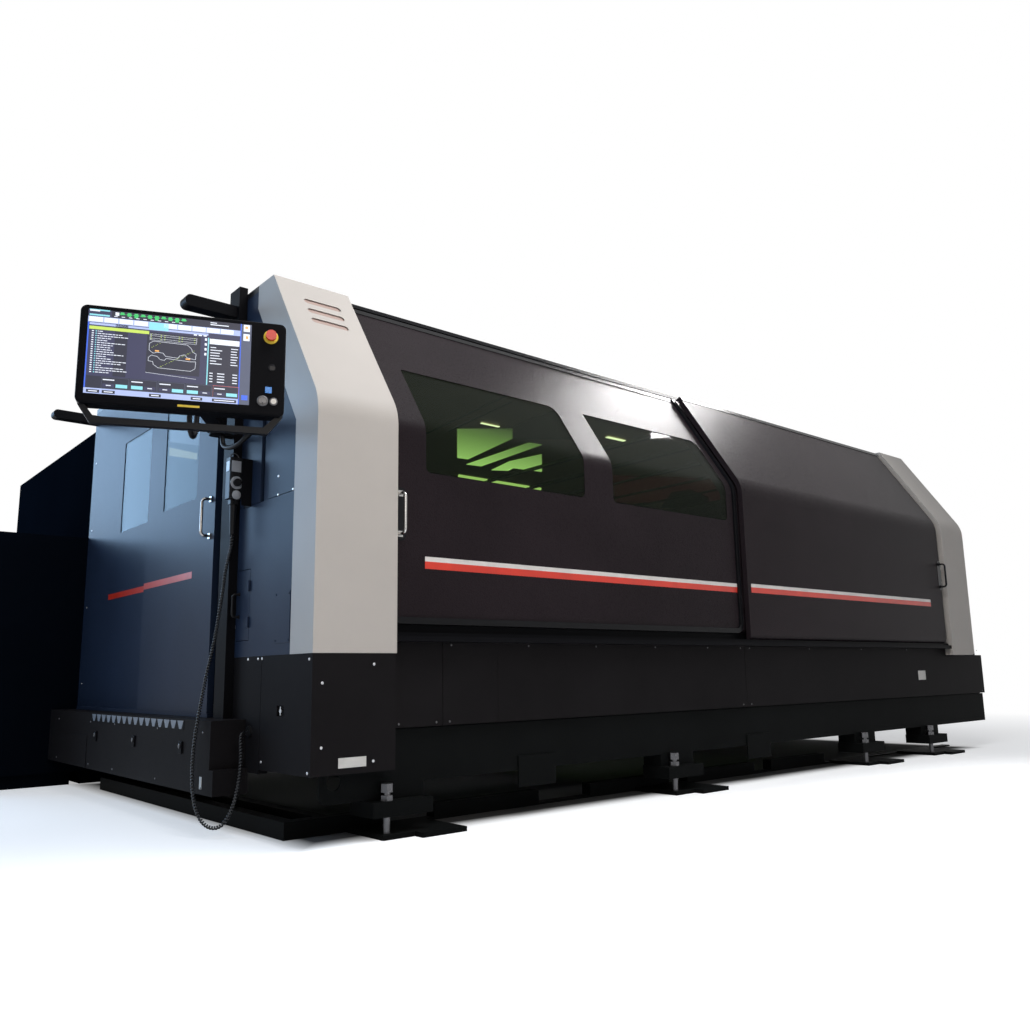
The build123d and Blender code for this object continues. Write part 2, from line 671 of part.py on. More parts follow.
# Levelling bolts, each with its nut, standing on an anchor plate
bolts = []
plates = []
for x, y in foot_places:
    bolt = post(BOLT_RADIUS, x, y, ANCHOR_THICKNESS, BOLT_HEAD_LOW)
    bolt += hexagon_bar(HEX_RADIUS, x, y, foot_top, foot_top + NUT_HEIGHT)
    bolt += hexagon_bar(HEX_RADIUS, x, y, BOLT_HEAD_LOW, BOLT_HEAD_LOW + BOLT_HEAD_HEIGHT)
    bolts.append(bolt)
    outward = y if y < BODY_DEPTH / 2 else BODY_DEPTH - y
    plate = block((x - BOLT_OFFSET / 2, x - BOLT_OFFSET + ANCHOR_OFFSET + ANCHOR_LENGTH),
                  (outward - BOLT_OFFSET / 2, ANCHOR_BACK), (0, ANCHOR_THICKNESS))
    if y > BODY_DEPTH / 2:
        plate = mirror(plate, Plane.XZ.offset(-BODY_DEPTH / 2))
    else:
        plate += block((x - BOLT_OFFSET + ANCHOR_OFFSET, x - BOLT_OFFSET + ANCHOR_OFFSET + ANCHOR_LENGTH),
                       (ANCHOR_FRONT, ANCHOR_BACK), (0, ANCHOR_THICKNESS))
    plates.append(plate)
nodes["levelling_bolts"] = gathered(bolts)
nodes["anchor_plates"] = gathered(plates)

# Rails on the floor
strip_y = (RAIL_Y, RAIL_Y + RAIL_WIDTH)
side_rail_end = BODY_DEPTH - SIDE_RAIL_INSET
rails = block((SIDE_RAIL_X[0], base_length - CROSS_WIDTH), strip_y, (0, RAIL_STRIP))
for span in RAIL_SPANS:
    rails += block(span, strip_y, (0, RAIL_HEIGHT))
for x in SIDE_RAIL_X:
    rails += block((x, x + RAIL_WIDTH), (RAIL_Y, side_rail_end), (0, RAIL_HEIGHT))
for y in (RAIL_Y, MIDDLE_TIE, side_rail_end - RAIL_WIDTH):
    rails += block((SIDE_RAIL_X[0], SIDE_RAIL_X[1] + RAIL_WIDTH), (y, y + RAIL_WIDTH), (0, RAIL_HEIGHT))
nodes["floor_rails"] = rails

# Lower front panels; the middle one holds an access cover
panel_limits = (PILLAR_WIDTH + GAP, *PANEL_SEAMS, base_length)
for name, start, end in zip(("left", "middle", "right"), panel_limits[:-1], panel_limits[1:]):
    right = end - PANEL_GAP
    outline = [(start, PANEL_LOW), (start, TRACK_LOW - GAP)]
    if right > right_pillar_start:
        step_x = right_pillar_start - GAP
        outline += [(step_x, TRACK_LOW - GAP), (step_x, PILLAR_BOTTOM - GAP)]
        outline += [(right, PILLAR_BOTTOM - GAP), (right, PANEL_LOW)]
    else:
        outline += [(right, TRACK_LOW - GAP), (right, PANEL_LOW)]
    face = make_face(Polyline(*outline, close=True))
    panel = along_y(face, PANEL_FACE, FRAME_DEPTH)
    inner_face = offset(face, amount=-SHEET, kind=Kind.INTERSECTION)
    panel -= along_y(inner_face, PANEL_FACE + SHEET, FRAME_DEPTH + SHEET)
    if name == "middle":
        panel -= block((start + GROOVE, ACCESS_SEAM), (PANEL_FACE - 1, PANEL_FACE + GROOVE / 2),
                       (ACCESS_TOP, ACCESS_TOP + GROOVE))
        panel -= block((ACCESS_SEAM, ACCESS_SEAM + GROOVE), (PANEL_FACE - 1, PANEL_FACE + GROOVE / 2),
                       (PANEL_LOW - 1, ACCESS_TOP + GROOVE))
    nodes["lower_panel_" + name] = panel

# Corner cabinet and its latch
cabinet = pan((0, CABINET_WIDTH), (0, CABINET_DEPTH), (CABINET_LOW, PILLAR_BOTTOM - GAP), "+y")
latch_y = (LATCH_Y - LATCH_WIDTH / 2, LATCH_Y + LATCH_WIDTH / 2)
latch_z = (LATCH_Z - LATCH_HEIGHT / 2, LATCH_Z + LATCH_HEIGHT / 2)
cabinet += block((0, LATCH_DEPTH + SHEET), (latch_y[0] - SHEET, latch_y[1] + SHEET),
                 (latch_z[0] - SHEET, latch_z[1] + SHEET))
cabinet -= block((-1, LATCH_DEPTH), latch_y, latch_z)
cabinet -= Pos(LATCH_DEPTH, LATCH_Y, LATCH_Z) * Rot(0, 90, 0) * Cylinder(
    LATCH_TURN_RADIUS / 2 + SHAFT_CLEARANCE, 4 * SHEET)
nodes["corner_cabinet"] = cabinet
latch_barrel = Cylinder(LATCH_TURN_RADIUS, LATCH_DEPTH - 2 * GAP)
latch = Pos(LATCH_DEPTH / 2, LATCH_Y, LATCH_Z) * Rot(0, 90, 0) * latch_barrel
latch += Pos(LATCH_DEPTH, LATCH_Y, LATCH_Z) * Rot(0, 90, 0) * Cylinder(LATCH_TURN_RADIUS / 2, 4 * SHEET)
latch += block((GAP, LATCH_DEPTH / 2), (LATCH_Y - LATCH_WING_WIDTH / 2, LATCH_Y + LATCH_WING_WIDTH / 2),
               (latch_z[0] + LATCH_WING_MARGIN, latch_z[1] - LATCH_WING_MARGIN))
nodes["cabinet_latch"] = latch

# Left end panels, cut to follow the pillar
shoulder = bend_point(PILLAR_SIDE + GAP)
knee = shoulder[1] + (roof_start - shoulder[0]) / math.tan(math.radians(SLOPE))


def end_wall(back, low, high, start, end, inset):
    """Upright end wall behind the pillar, with its front edge parallel to the bent front."""
    front = PILLAR_SIDE + GAP + inset
    turn = bend_point(PILLAR_SIDE + GAP + inset)
    top_front = turn[1] + (roof_start + inset - turn[0]) / math.tan(math.radians(SLOPE))
    points = [(front, low + inset), turn, (roof_start + inset, top_front), (roof_start + inset, high - inset),
              (back - inset, high - inset), (back - inset, low + inset)]
    return along_x(points, start, end)


upper = end_wall(end_rear, END_SEAM, end_top, 0, PAN_DEPTH, 0)
upper -= end_wall(end_rear, END_SEAM, end_top, SHEET + SLOT_DEPTH, PAN_DEPTH + 1, SHEET)
upper -= block((-1, STRIP_DEPTH), STRIP_Y, (END_SEAM - 1, knee))
upper -= block((-1, SLOT_DEPTH), SLOT_Y, (END_SEAM - 1, knee))
nodes["end_panel_upper"] = upper

lower = pan((0, PAN_DEPTH), (PILLAR_SIDE + GAP, end_rear), (PILLAR_BOTTOM, END_SEAM - PANEL_GAP), "+x")
service_hole_y = (service_y[0] - SERVICE_CLEARANCE, service_y[1] + SERVICE_CLEARANCE)
service_hole_z = (SERVICE_Z[0] - SERVICE_CLEARANCE, SERVICE_Z[1] + SERVICE_CLEARANCE)
lower -= block((-1, PAN_DEPTH + 1), service_hole_y, service_hole_z)
lower += block((-HATCH_PROUD, 0), HATCH_Y, HATCH_Z)
for y in (HATCH_Y[0] + SCREW_INSET, HATCH_Y[1] - SCREW_INSET):
    for z in (HATCH_Z[0] + SCREW_INSET, HATCH_Z[1] - SCREW_INSET):
        lower += Pos(-HATCH_PROUD - 1, y, z) * Rot(0, 90, 0) * Cylinder(SCREW_RADIUS, 2)
nodes["end_panel_lower"] = lower

skirt = pan((0, PAN_DEPTH), (CABINET_DEPTH + PANEL_GAP, end_rear), (SKIRT_LOW, PILLAR_BOTTOM - GAP), "+x")
nodes["end_skirt"] = skirt

# Service door with its hinge knuckles on the front edge
service = block((0, SERVICE_THICKNESS), service_y, SERVICE_Z)
service -= block((SHEET, SERVICE_THICKNESS + 1), (service_y[0] + SHEET, service_y[1] - SHEET),
                 (SERVICE_Z[0] + SHEET, SERVICE_Z[1] - SHEET))
hinge_x = -HINGE_RADIUS
hinge_y = service_y[0] - SERVICE_CLEARANCE / 2
for z in HINGE_Z:
    hinge_z = (z - HINGE_LENGTH / 2, z + HINGE_LENGTH / 2)
    service += post(HINGE_RADIUS, hinge_x, hinge_y, *hinge_z)
    service += block((hinge_x, 0), (hinge_y, hinge_y + 4 * HINGE_RADIUS), hinge_z)
nodes["service_door"] = service
nodes["service_door_handle"] = bow_on_end(
    SMALL_BOW_LENGTH, SMALL_BOW_REACH, SMALL_BOW_RADIUS, 3 * SMALL_BOW_RADIUS, 0,
    service_y[1] - SMALL_BOW_INSET, (SERVICE_Z[0] + SERVICE_Z[1] - SMALL_BOW_LENGTH) / 2)

# Mast with the bracket that carries the console arm
ring_low = ARM_LEVEL
ring_high = ARM_LEVEL + RING_HEIGHT
mast = block((-MAST_REACH, 0), mast_y, (end_door_low, mast_top))
for z in (ring_low - BRACKET_PLATE - GAP, ring_high + GAP):
    mast += block((PIVOT_X, -MAST_REACH), (pivot_y - RING_RADIUS / 2, pivot_y + RING_RADIUS / 2),
                  (z, z + BRACKET_PLATE))
    mast += post(BOSS_RADIUS, PIVOT_X, pivot_y, z, z + BRACKET_PLATE)
mast += post(SWIVEL_SHAFT, PIVOT_X, pivot_y, ring_low - GAP, ring_high + GAP)
nodes["mast"] = mast

rear_post_start = BODY_DEPTH - REAR_POST_WIDTH
arm_low = end_top - ARM_DROP
arms = []
for y, root in ((sum(mast_y) / 2, -MAST_REACH), (rear_post_start + ARM_WIDTH, 0)):
    bar = block((-ARM_REACH, root), (y - ARM_WIDTH / 2, y + ARM_WIDTH / 2), (arm_low, arm_low + ARM_HEIGHT))
    tip = bar.edges().filter_by(Axis.Y).sort_by(Axis.X)[0:2]
    arms.append(fillet(tip, ARM_TIP_RADIUS))
nodes["top_arms"] = gathered(arms)

# End door: frame, fixed leaf behind, sliding leaf in front
frame_x = (0, PAN_DEPTH)
front_post = (mast_y[1] + POST_GAP, mast_y[1] + POST_GAP + FRONT_POST_WIDTH)
end_sill_top = end_door_low + END_SILL
end_head_low = end_top - END_HEAD
sliding_low = end_door_low + END_RUNNER
fixed_leaf_start = rear_post_start - FIXED_LEAF_WIDTH
fixed_window_start = fixed_leaf_start + FIXED_WINDOW_INSET
fixed_window_y = (fixed_window_start, fixed_window_start + FIXED_WINDOW_LENGTH)
sliding_start = front_post[1] + LEAF_FRONT_GAP
sliding_end = fixed_leaf_start + LEAF_SIDE_LAP
sliding_window_y = (sliding_start + SLIDING_WINDOW_MARGINS[0], sliding_end - SLIDING_WINDOW_MARGINS[1])
sliding_handle_y = sliding_start + SLIDING_HANDLE_INSET
end_frame = block(frame_x, (front_post[0], BODY_DEPTH), (end_door_low, end_top))
end_frame -= block((-1, PAN_DEPTH + 1), (front_post[1], rear_post_start), (end_sill_top, end_head_low))
runner_x = (-LEAF_GAP - LEAF_THICKNESS, 0)
end_frame += block(runner_x, (front_post[1], rear_post_start), (end_door_low, sliding_low - GAP))
nodes["end_frame"] = end_frame
fixed = pan((0, LEAF_THICKNESS), (fixed_leaf_start, rear_post_start - GAP),
            (end_sill_top + GAP, end_head_low - GAP), "+x")
fixed -= block((-1, PAN_DEPTH), fixed_window_y, END_WINDOW_Z)
nodes["fixed_leaf"] = fixed
pane_x = (SHEET + GAP, SHEET + GAP + PANE)


def end_pane(y, offset):
    """Pane behind a leaf of the end door."""
    return block((pane_x[0] + offset, pane_x[1] + offset), (y[0] - PANE_LAP, y[1] + PANE_LAP),
                 (END_WINDOW_Z[0] - PANE_LAP, END_WINDOW_Z[1] + PANE_LAP))


nodes["fixed_window"] = end_pane(fixed_window_y, 0)
leaf_face = -LEAF_GAP - LEAF_THICKNESS
leaf = pan((leaf_face, -LEAF_GAP), (sliding_start, sliding_end),
           (sliding_low, end_head_low + LEAF_TOP_LAP), "+x")
leaf -= block((leaf_face - 1, 0), sliding_window_y, END_WINDOW_Z)
nodes["sliding_leaf"] = leaf
nodes["sliding_window"] = end_pane(sliding_window_y, leaf_face)
nodes["sliding_handle"] = bow_on_end(BOW_LENGTH, BOW_REACH, BOW_RADIUS, BOW_FOOT, leaf_face, sliding_handle_y,
                                     SLIDING_HANDLE_LOW)

# Box along the foot of the end door
step = pan((-STEP_REACH, 0), (STEP_START, BODY_DEPTH), (STEP_LOW, STEP_TOP), "+x")
step += block((-STEP_REACH, -GAP), (STEP_START - STEP_BLOCK, STEP_START + SHEET), (STEP_LOW, STEP_BLOCK_TOP))
flap_start = BODY_DEPTH - STEP_FLAP_LENGTH
step -= block((-STEP_REACH - 1, -STEP_REACH + GROOVE / 2), (flap_start, flap_start + GROOVE),
              (STEP_LOW + PAN_DEPTH, STEP_TOP - 3 * PAN_DEPTH))
nodes["step_box"] = step

# Console: the housing is laid out at its front face and set in place by its yaw
console_place = Pos(CONSOLE_X, CONSOLE_Y, CONSOLE_Z) * Rot(0, 0, CONSOLE_YAW)
half_width = CONSOLE_WIDTH / 2
half_height = CONSOLE_HEIGHT / 2
back_plane = Plane(origin=(0, 0, 0), x_dir=(1, 0, 0), z_dir=(0, 1, 0))


def local_disc(radius, place, start, end):
    """Disc that looks along Y in the console's own frame."""
    return Pos(place[0], (start + end) / 2, place[1]) * Rot(90, 0, 0) * Cylinder(radius, abs(end - start))


housing = extrude(back_plane * RectangleRounded(CONSOLE_WIDTH, CONSOLE_HEIGHT, CONSOLE_CORNER),
                  amount=CONSOLE_THICKNESS)
housing = fillet(housing.faces().sort_by(Axis.Y)[0].edges(), CONSOLE_EDGE)
screen_x = (-half_width + SCREEN_LEFT, half_width - SCREEN_RIGHT)
screen_z = (-half_height + SCREEN_BOTTOM, half_height - SCREEN_TOP)
housing -= block(screen_x, (-1, SCREEN_DEPTH), screen_z)
housing += local_disc(COLLAR_RADIUS, STOP_PLACE, -COLLAR_HEIGHT, 1)
for place, radius in ((STOP_PLACE, STOP_STEM), (BLUE_PLACE, BUTTON_RADIUS), (WHITE_PLACE, BUTTON_RADIUS),
                      (KEY_PLACE, KEY_RADIUS)):
    housing -= local_disc(radius + BUTTON_CLEARANCE, place, -COLLAR_HEIGHT - 1, BUTTON_BORE_DEPTH)
lug_low = CONSOLE_THICKNESS
tilt_lug = block((-LUG_HALF, LUG_HALF), (lug_low - 1, TILT_OFFSET), (-KNUCKLE_RADIUS, KNUCKLE_RADIUS))
tilt_lug += Pos(0, TILT_OFFSET, 0) * Rot(0, 90, 0) * Cylinder(KNUCKLE_RADIUS, 2 * LUG_HALF)
tilt_lug -= Pos(0, TILT_OFFSET, 0) * Rot(0, 90, 0) * Cylinder(TILT_SHAFT + SHAFT_CLEARANCE, 4 * LUG_HALF)
housing += tilt_lug
nodes["console_housing"] = console_place * housing
nodes["console_screen"] = console_place * block(
    (screen_x[0] + GAP, screen_x[1] - GAP), (GROOVE / 2, SCREEN_DEPTH), (screen_z[0] + GAP, screen_z[1] - GAP))

grip_outer = [(-half_width + CONSOLE_EDGE, 0), (-half_width + GRIP_SLANT, -GRIP_DROP),
              (half_width - GRIP_SLANT - CONSOLE_EDGE, -GRIP_DROP), (half_width - CONSOLE_EDGE, 0)]
grip_inner = [(half_width - CONSOLE_EDGE - GRIP_BAR, 0),
              (half_width - GRIP_SLANT - GRIP_BAR, -GRIP_DROP + GRIP_BAR),
              (-half_width + GRIP_SLANT + GRIP_BAR / 2, -GRIP_DROP + GRIP_BAR),
              (-half_width + CONSOLE_EDGE + GRIP_BAR, 0)]
grip_face = make_face(Polyline(*grip_outer, *grip_inner, close=True))
grip_plane = Plane(origin=(0, CONSOLE_EDGE * 2, -half_height), x_dir=(1, 0, 0), z_dir=(0, -1, 0))
grip = extrude(grip_plane * grip_face, amount=-GRIP_DEPTH)
nodes["console_handle"] = console_place * grip

stop = local_disc(STOP_STEM, STOP_PLACE, -COLLAR_HEIGHT - STOP_STANDOFF, BUTTON_BORE_DEPTH - STOP_STANDOFF)
stop += local_disc(STOP_RADIUS, STOP_PLACE, -COLLAR_HEIGHT - STOP_STANDOFF - STOP_HEAD,
                   -COLLAR_HEIGHT - STOP_STANDOFF)
nodes["emergency_stop"] = console_place * stop
button_back = BUTTON_BORE_DEPTH / 2
nodes["blue_button"] = console_place * local_disc(BUTTON_RADIUS, BLUE_PLACE, -BUTTON_PROUD, button_back)
nodes["white_button"] = console_place * local_disc(BUTTON_RADIUS, WHITE_PLACE, -BUTTON_PROUD, button_back)
key = local_disc(KEY_RADIUS, KEY_PLACE, -KEY_PROUD, button_back)
key += block((KEY_PLACE[0] - KEY_WING_WIDTH / 2, KEY_PLACE[0] + KEY_WING_WIDTH / 2),
             (-KEY_PROUD - KEY_WING, -KEY_PROUD),
             (KEY_PLACE[1] - KEY_RADIUS + KEY_WING_MARGIN, KEY_PLACE[1] + KEY_RADIUS - KEY_WING_MARGIN))
nodes["key_switch"] = console_place * key

# Yoke: two ears with the tilt shaft, on an upright spigot that turns in the end of the arm
ear_inner = LUG_HALF + GAP
yoke_back = TILT_OFFSET + KNUCKLE_RADIUS + YOKE_CLEARANCE
spigot_low = ring_low - CONSOLE_Z
spigot_high = ring_high - CONSOLE_Z
yoke = Pos(0, TILT_OFFSET, 0) * Rot(0, 90, 0) * Cylinder(TILT_SHAFT, 2 * (ear_inner + EAR))
for side in (-1, 1):
    ear_x = sorted((side * ear_inner, side * (ear_inner + EAR)))
    yoke += block(ear_x, (TILT_OFFSET, yoke_back + 1), (-KNUCKLE_RADIUS, KNUCKLE_RADIUS))
    yoke += Pos(sum(ear_x) / 2, TILT_OFFSET, 0) * Rot(0, 90, 0) * Cylinder(KNUCKLE_RADIUS, EAR)
bridge_low = spigot_high + GAP
bridge_high = bridge_low + 2 * EAR
yoke += block((-ear_inner - EAR, ear_inner + EAR), (yoke_back, yoke_back + EAR), (-KNUCKLE_RADIUS, bridge_high))
yoke += block((-KNUCKLE_RADIUS, KNUCKLE_RADIUS), (yoke_back, SWIVEL_OFFSET), (bridge_low, bridge_high))
yoke += post(BOSS_RADIUS, 0, SWIVEL_OFFSET, bridge_low, bridge_high)
yoke += post(SWIVEL_SHAFT, 0, SWIVEL_OFFSET, spigot_low, bridge_high)
nodes["console_yoke"] = console_place * yoke

# Arm between the mast and the yoke
swivel_place = console_place * Pos(0, SWIVEL_OFFSET, 0)
swivel_x = swivel_place.position.X
swivel_y = swivel_place.position.Y
arm_length = math.hypot(swivel_x - PIVOT_X, swivel_y - pivot_y)
arm_heading = math.degrees(math.atan2(swivel_y - pivot_y, swivel_x - PIVOT_X))
arm_place = Pos(PIVOT_X, pivot_y, ARM_LEVEL) * Rot(0, 0, arm_heading)
arm_mid = RING_HEIGHT / 2
arm = block((0, arm_length), (-ARM_BAR / 2, ARM_BAR / 2), (arm_mid - ARM_BAR / 2, arm_mid + ARM_BAR / 2))
for x in (0, arm_length):
    arm += post(RING_RADIUS, x, 0, 0, RING_HEIGHT)
for x in (0, arm_length):
    arm -= post(SWIVEL_SHAFT + SHAFT_CLEARANCE, x, 0, -1, RING_HEIGHT + 1)
hose_start = arm_length - RING_RADIUS - 2 * GLAND_RADIUS - ARM_HOSE_ROUTE[-1][0]
arm_under = arm_mid - ARM_BAR / 2
for x in (hose_start, hose_start + ARM_HOSE_ROUTE[-1][0]):
    arm += post(GLAND_RADIUS, x, 0, arm_under - GLAND_LENGTH, arm_under + 1)
nodes["console_arm"] = arm_place * arm


def tube_along(points, radius):
    """Round tube along straight runs joined by tangent arcs, as large as the runs allow."""
    route = [Vector(*point) for point in points]
    radii = []
    for before, corner, after in zip(route, route[1:], route[2:]):
        inward = corner - before
        outward = after - corner
        turn = math.radians(inward.get_angle(outward))
        radii.append(ARC_SHARE * min(inward.length, outward.length) / math.tan(turn / 2))
    path = FilletPolyline(*route, radius=radii)
    start = Plane(origin=route[0], z_dir=route[1] - route[0])
    tube = sweep(start * Circle(radius), path=path)
    print("tube radii", [round(value) for value in radii], "length", round(path.length),
          "volume ratio", round(tube.volume / (math.pi * radius ** 2 * path.length), 4))
    return tube


hose_points = [(hose_start + along, 0, arm_under - GLAND_LENGTH + drop) for along, drop in ARM_HOSE_ROUTE]
nodes["arm_hose"] = arm_place * tube_along(hose_points, HOSE_RADIUS)
nodes["console_hose"] = tube_along(PANEL_HOSE_ROUTE, HOSE_RADIUS)

# Hand controller in its holder
holder = block((-HOLDER_PLATE, 0), holder_y, HOLDER_Z)
holder += block((HANDSET_X[0] / 2, 0), (holder_y[0], holder_y[0] + HOLDER_PLATE), HOLDER_Z)
holder += block((HANDSET_X[1] + GAP, 0), (handset_y[0], holder_y[1]),
                (HANDSET_HIGH - HOOK_LOW, HANDSET_HIGH - HOOK_HIGH))
nodes["pendant_holder"] = holder
handset_mid_x = sum(HANDSET_X) / 2
handset_mid_y = sum(handset_y) / 2
handset = block(HANDSET_X, handset_y, (HANDSET_LOW + NECK_HEIGHT, HANDSET_HIGH))
handset = fillet(handset.edges().filter_by(Axis.Z), HANDSET_CORNER)
neck = extrude(RectangleRounded(NECK_WIDTH, NECK_WIDTH, NECK_CORNER), amount=NECK_HEIGHT + 1)
handset += Pos(handset_mid_x, handset_mid_y, HANDSET_LOW) * neck
relief = Cone(RELIEF_RADIUS, RELIEF_RADIUS + RELIEF_FLARE, HANDSET_LOW - RELIEF_LOW)
handset += Pos(handset_mid_x, handset_mid_y, (RELIEF_LOW + HANDSET_LOW) / 2) * relief
knob_z = (HANDSET_LOW + HANDSET_HIGH) / 2 - KNOB_DROP
knob_bore = Cylinder(KNOB_STEM + SHAFT_CLEARANCE, 2 * KNOB_BORE_DEPTH)
handset -= Pos(handset_mid_x, handset_y[0], knob_z) * Rot(90, 0, 0) * knob_bore
nodes["pendant_body"] = handset
knob = Pos(handset_mid_x, handset_y[0] - GAP - KNOB_PROUD / 2, knob_z) * Rot(90, 0, 0) * Cylinder(
    KNOB_RADIUS, KNOB_PROUD)
knob += Pos(handset_mid_x, handset_y[0], knob_z) * Rot(90, 0, 0) * Cylinder(KNOB_STEM, 2 * KNOB_STEM_LENGTH)
nodes["pendant_knob"] = knob
grommet = Rot(0, 90, 0) * Cylinder(GROMMET_RADIUS, GROMMET_PROUD)
nodes["cord_grommet"] = Pos(-GROMMET_PROUD / 2, GROMMET_Y, GROMMET_Z) * grommet
nodes["pendant_cord"] = tube_along(CORD_ROUTE, CORD_RADIUS)

# Roof and walls
roof_z = (BODY_HEIGHT - ROOF_SKIRT, BODY_HEIGHT)
nodes["roof_panel"] = pan((0, body_end), (roof_start, BODY_DEPTH), roof_z, "-z")
wall_z = (BASE_TOP + GAP, end_top)
nodes["rear_wall"] = pan((PAN_DEPTH + GAP, body_end - PAN_DEPTH - GAP), (wall_back, BODY_DEPTH), wall_z, "-y")
right_wall = end_wall(BODY_DEPTH, wall_z[0], end_top, body_end - PAN_DEPTH, body_end, 0)
right_wall -= end_wall(BODY_DEPTH, wall_z[0], end_top, body_end - PAN_DEPTH - 1, body_end - SHEET, SHEET)
nodes["right_wall"] = right_wall

# Bed, gantry and cutting head
bed = []
for y, inward in ((bed_y[0], 1), (bed_y[1], -1)):
    wall = block(bed_x, (y, y + BED_WALL), (BASE_TOP, BED_TOP))
    edge = y + BED_WALL if inward > 0 else y
    ledge_y = sorted((edge, edge + inward * LEDGE_REACH))
    wall += block(bed_x, ledge_y, (LEDGE_Z - LEDGE_THICKNESS, LEDGE_Z))
    bed.append(wall)
nodes["bed_walls"] = gathered(bed)
rail_top = BED_TOP + LINEAR_RAIL_HEIGHT
guides = []
for y in bed_y:
    middle = y + BED_WALL / 2
    guides.append(block((bed_x[0] + LINEAR_RAIL_INSET, bed_x[1] - LINEAR_RAIL_INSET),
                        (middle - LINEAR_RAIL_WIDTH / 2, middle + LINEAR_RAIL_WIDTH / 2), (BED_TOP, rail_top)))
nodes["gantry_rails"] = gathered(guides)
saddle_low = rail_top + GAP
beam_low = saddle_low + SADDLE_HEIGHT
gantry_y = (bed_y[0] - GANTRY_OVERHANG, bed_y[1] + BED_WALL + GANTRY_OVERHANG)
gantry = block((GANTRY_X, GANTRY_X + GANTRY_WIDTH), gantry_y, (beam_low, beam_low + GANTRY_HEIGHT))
gantry -= block((GANTRY_X + GANTRY_WALL, GANTRY_X + GANTRY_WIDTH - GANTRY_WALL),
                (gantry_y[0] - 1, gantry_y[1] + 1),
                (beam_low + GANTRY_WALL, beam_low + GANTRY_HEIGHT - GANTRY_WALL))
for y in bed_y:
    gantry += block((GANTRY_X, GANTRY_X + GANTRY_WIDTH), (y, y + BED_WALL), (saddle_low, beam_low))
nodes["gantry_beam"] = gantry
carriage_x = (GANTRY_X - GAP - CARRIAGE_THICKNESS, GANTRY_X - GAP)
carriage_z = (beam_low + CARRIAGE_RISE, beam_low + CARRIAGE_RISE + CARRIAGE_HEIGHT)
carriage = block(carriage_x, (CARRIAGE_Y, CARRIAGE_Y + CARRIAGE_WIDTH), carriage_z)
carriage = fillet(carriage.edges().filter_by(Axis.Z), CARRIAGE_CORNER)
nodes["carriage"] = carriage
head_x = (carriage_x[0] - GAP - HEAD_DEPTH, carriage_x[0] - GAP)
head_mid_y = CARRIAGE_Y + CARRIAGE_WIDTH / 2
head_y = (head_mid_y - HEAD_WIDTH / 2, head_mid_y + HEAD_WIDTH / 2)
head = block(head_x, head_y, (HEAD_LOW + NOZZLE_LENGTH, HEAD_HIGH))
head = fillet(head.edges().filter_by(Axis.Z), HEAD_CORNER)
nozzle = Cone(NOZZLE_TIP, NOZZLE_ROOT, NOZZLE_LENGTH)
head += Pos(sum(head_x) / 2, head_mid_y, HEAD_LOW + NOZZLE_LENGTH / 2) * nozzle
nodes["cutting_head"] = head

# Pallet with its support slats, on the ledges of the bed
pallet_y = (bed_y[0] + BED_WALL + PALLET_CLEARANCE, bed_y[1] - PALLET_CLEARANCE)
pallet_z = (LEDGE_Z, LEDGE_Z + PALLET_HEIGHT)
pallet = block(PALLET_X, pallet_y, pallet_z)
pallet -= block((PALLET_X[0] + PALLET_BAR, PALLET_X[1] - PALLET_BAR),
                (pallet_y[0] + PALLET_BAR, pallet_y[1] - PALLET_BAR),
                (LEDGE_Z - 1, LEDGE_Z + PALLET_HEIGHT + 1))
slat_count = int((PALLET_X[1] - PALLET_X[0] - 2 * PALLET_BAR) // SLAT_PITCH)
slat_y = (pallet_y[0] + PALLET_BAR / 2, pallet_y[1] - PALLET_BAR / 2)
slats = []
for index in range(1, slat_count + 1):
    x = PALLET_X[0] + PALLET_BAR + index * SLAT_PITCH - SLAT_PITCH / 2
    slats.append(block((x, x + SLAT_THICKNESS), slat_y, (LEDGE_Z + PALLET_HEIGHT / 2, pallet_z[1] + SLAT_RISE)))
    pallet -= block((x - GAP, x + SLAT_THICKNESS + GAP), (slat_y[0] - GAP, slat_y[1] + GAP),
                    (LEDGE_Z + PALLET_HEIGHT / 2, pallet_z[1] + 1))
nodes["pallet_frame"] = pallet
nodes["support_slats"] = gathered(slats)


def cabinet_solid(x, y, height):
    """Closed cabinet on a plinth."""
    solid = block(x, y, (CABINET_PLINTH, height))
    solid += block((x[0] + PLINTH_INSET, x[1] - PLINTH_INSET), (y[0] + PLINTH_INSET, y[1] - PLINTH_INSET),
                   (0, CABINET_PLINTH + 1))
    return solid


cabinet_front = BODY_DEPTH + GAP
cabinets = [cabinet_solid((SIDE_CABINET_START, REAR_CABINET_X[0] - GAP),
                          (cabinet_front, cabinet_front + SIDE_CABINET_DEPTH), SIDE_CABINET_HEIGHT)]
for index in range(REAR_CABINET_COUNT):
    start = cabinet_front + index * (REAR_CABINET_LENGTH + GAP)
    cabinets.append(cabinet_solid(REAR_CABINET_X, (start, start + REAR_CABINET_LENGTH), REAR_CABINET_HEIGHT))
nodes["rear_cabinets"] = gathered(cabinets)

end_boxes = [block((body_end + GAP, base_length), END_BOX_Y, (BASE_TOP + GAP, END_BOX_TOP))]
for y_low, y_high, z_low, z_high, reach in WALL_BOXES:
    end_boxes.append(block((body_end + GAP, body_end + reach), (y_low, y_high), (z_low, z_high)))
nodes["right_end_boxes"] = gathered(end_boxes)

# The part's own frame: the middle of the floor area that it covers
measured = [shape.bounding_box() for name, shape in nodes.items() if name != "pendant_cord"]
x_low = min(box.min.X for box in measured)
x_high = max(box.max.X for box in measured)
y_low = min(box.min.Y for box in measured)
y_high = max(box.max.Y for box in measured)
origin = ((x_low + x_high) / 2, (y_low + y_high) / 2, 0)

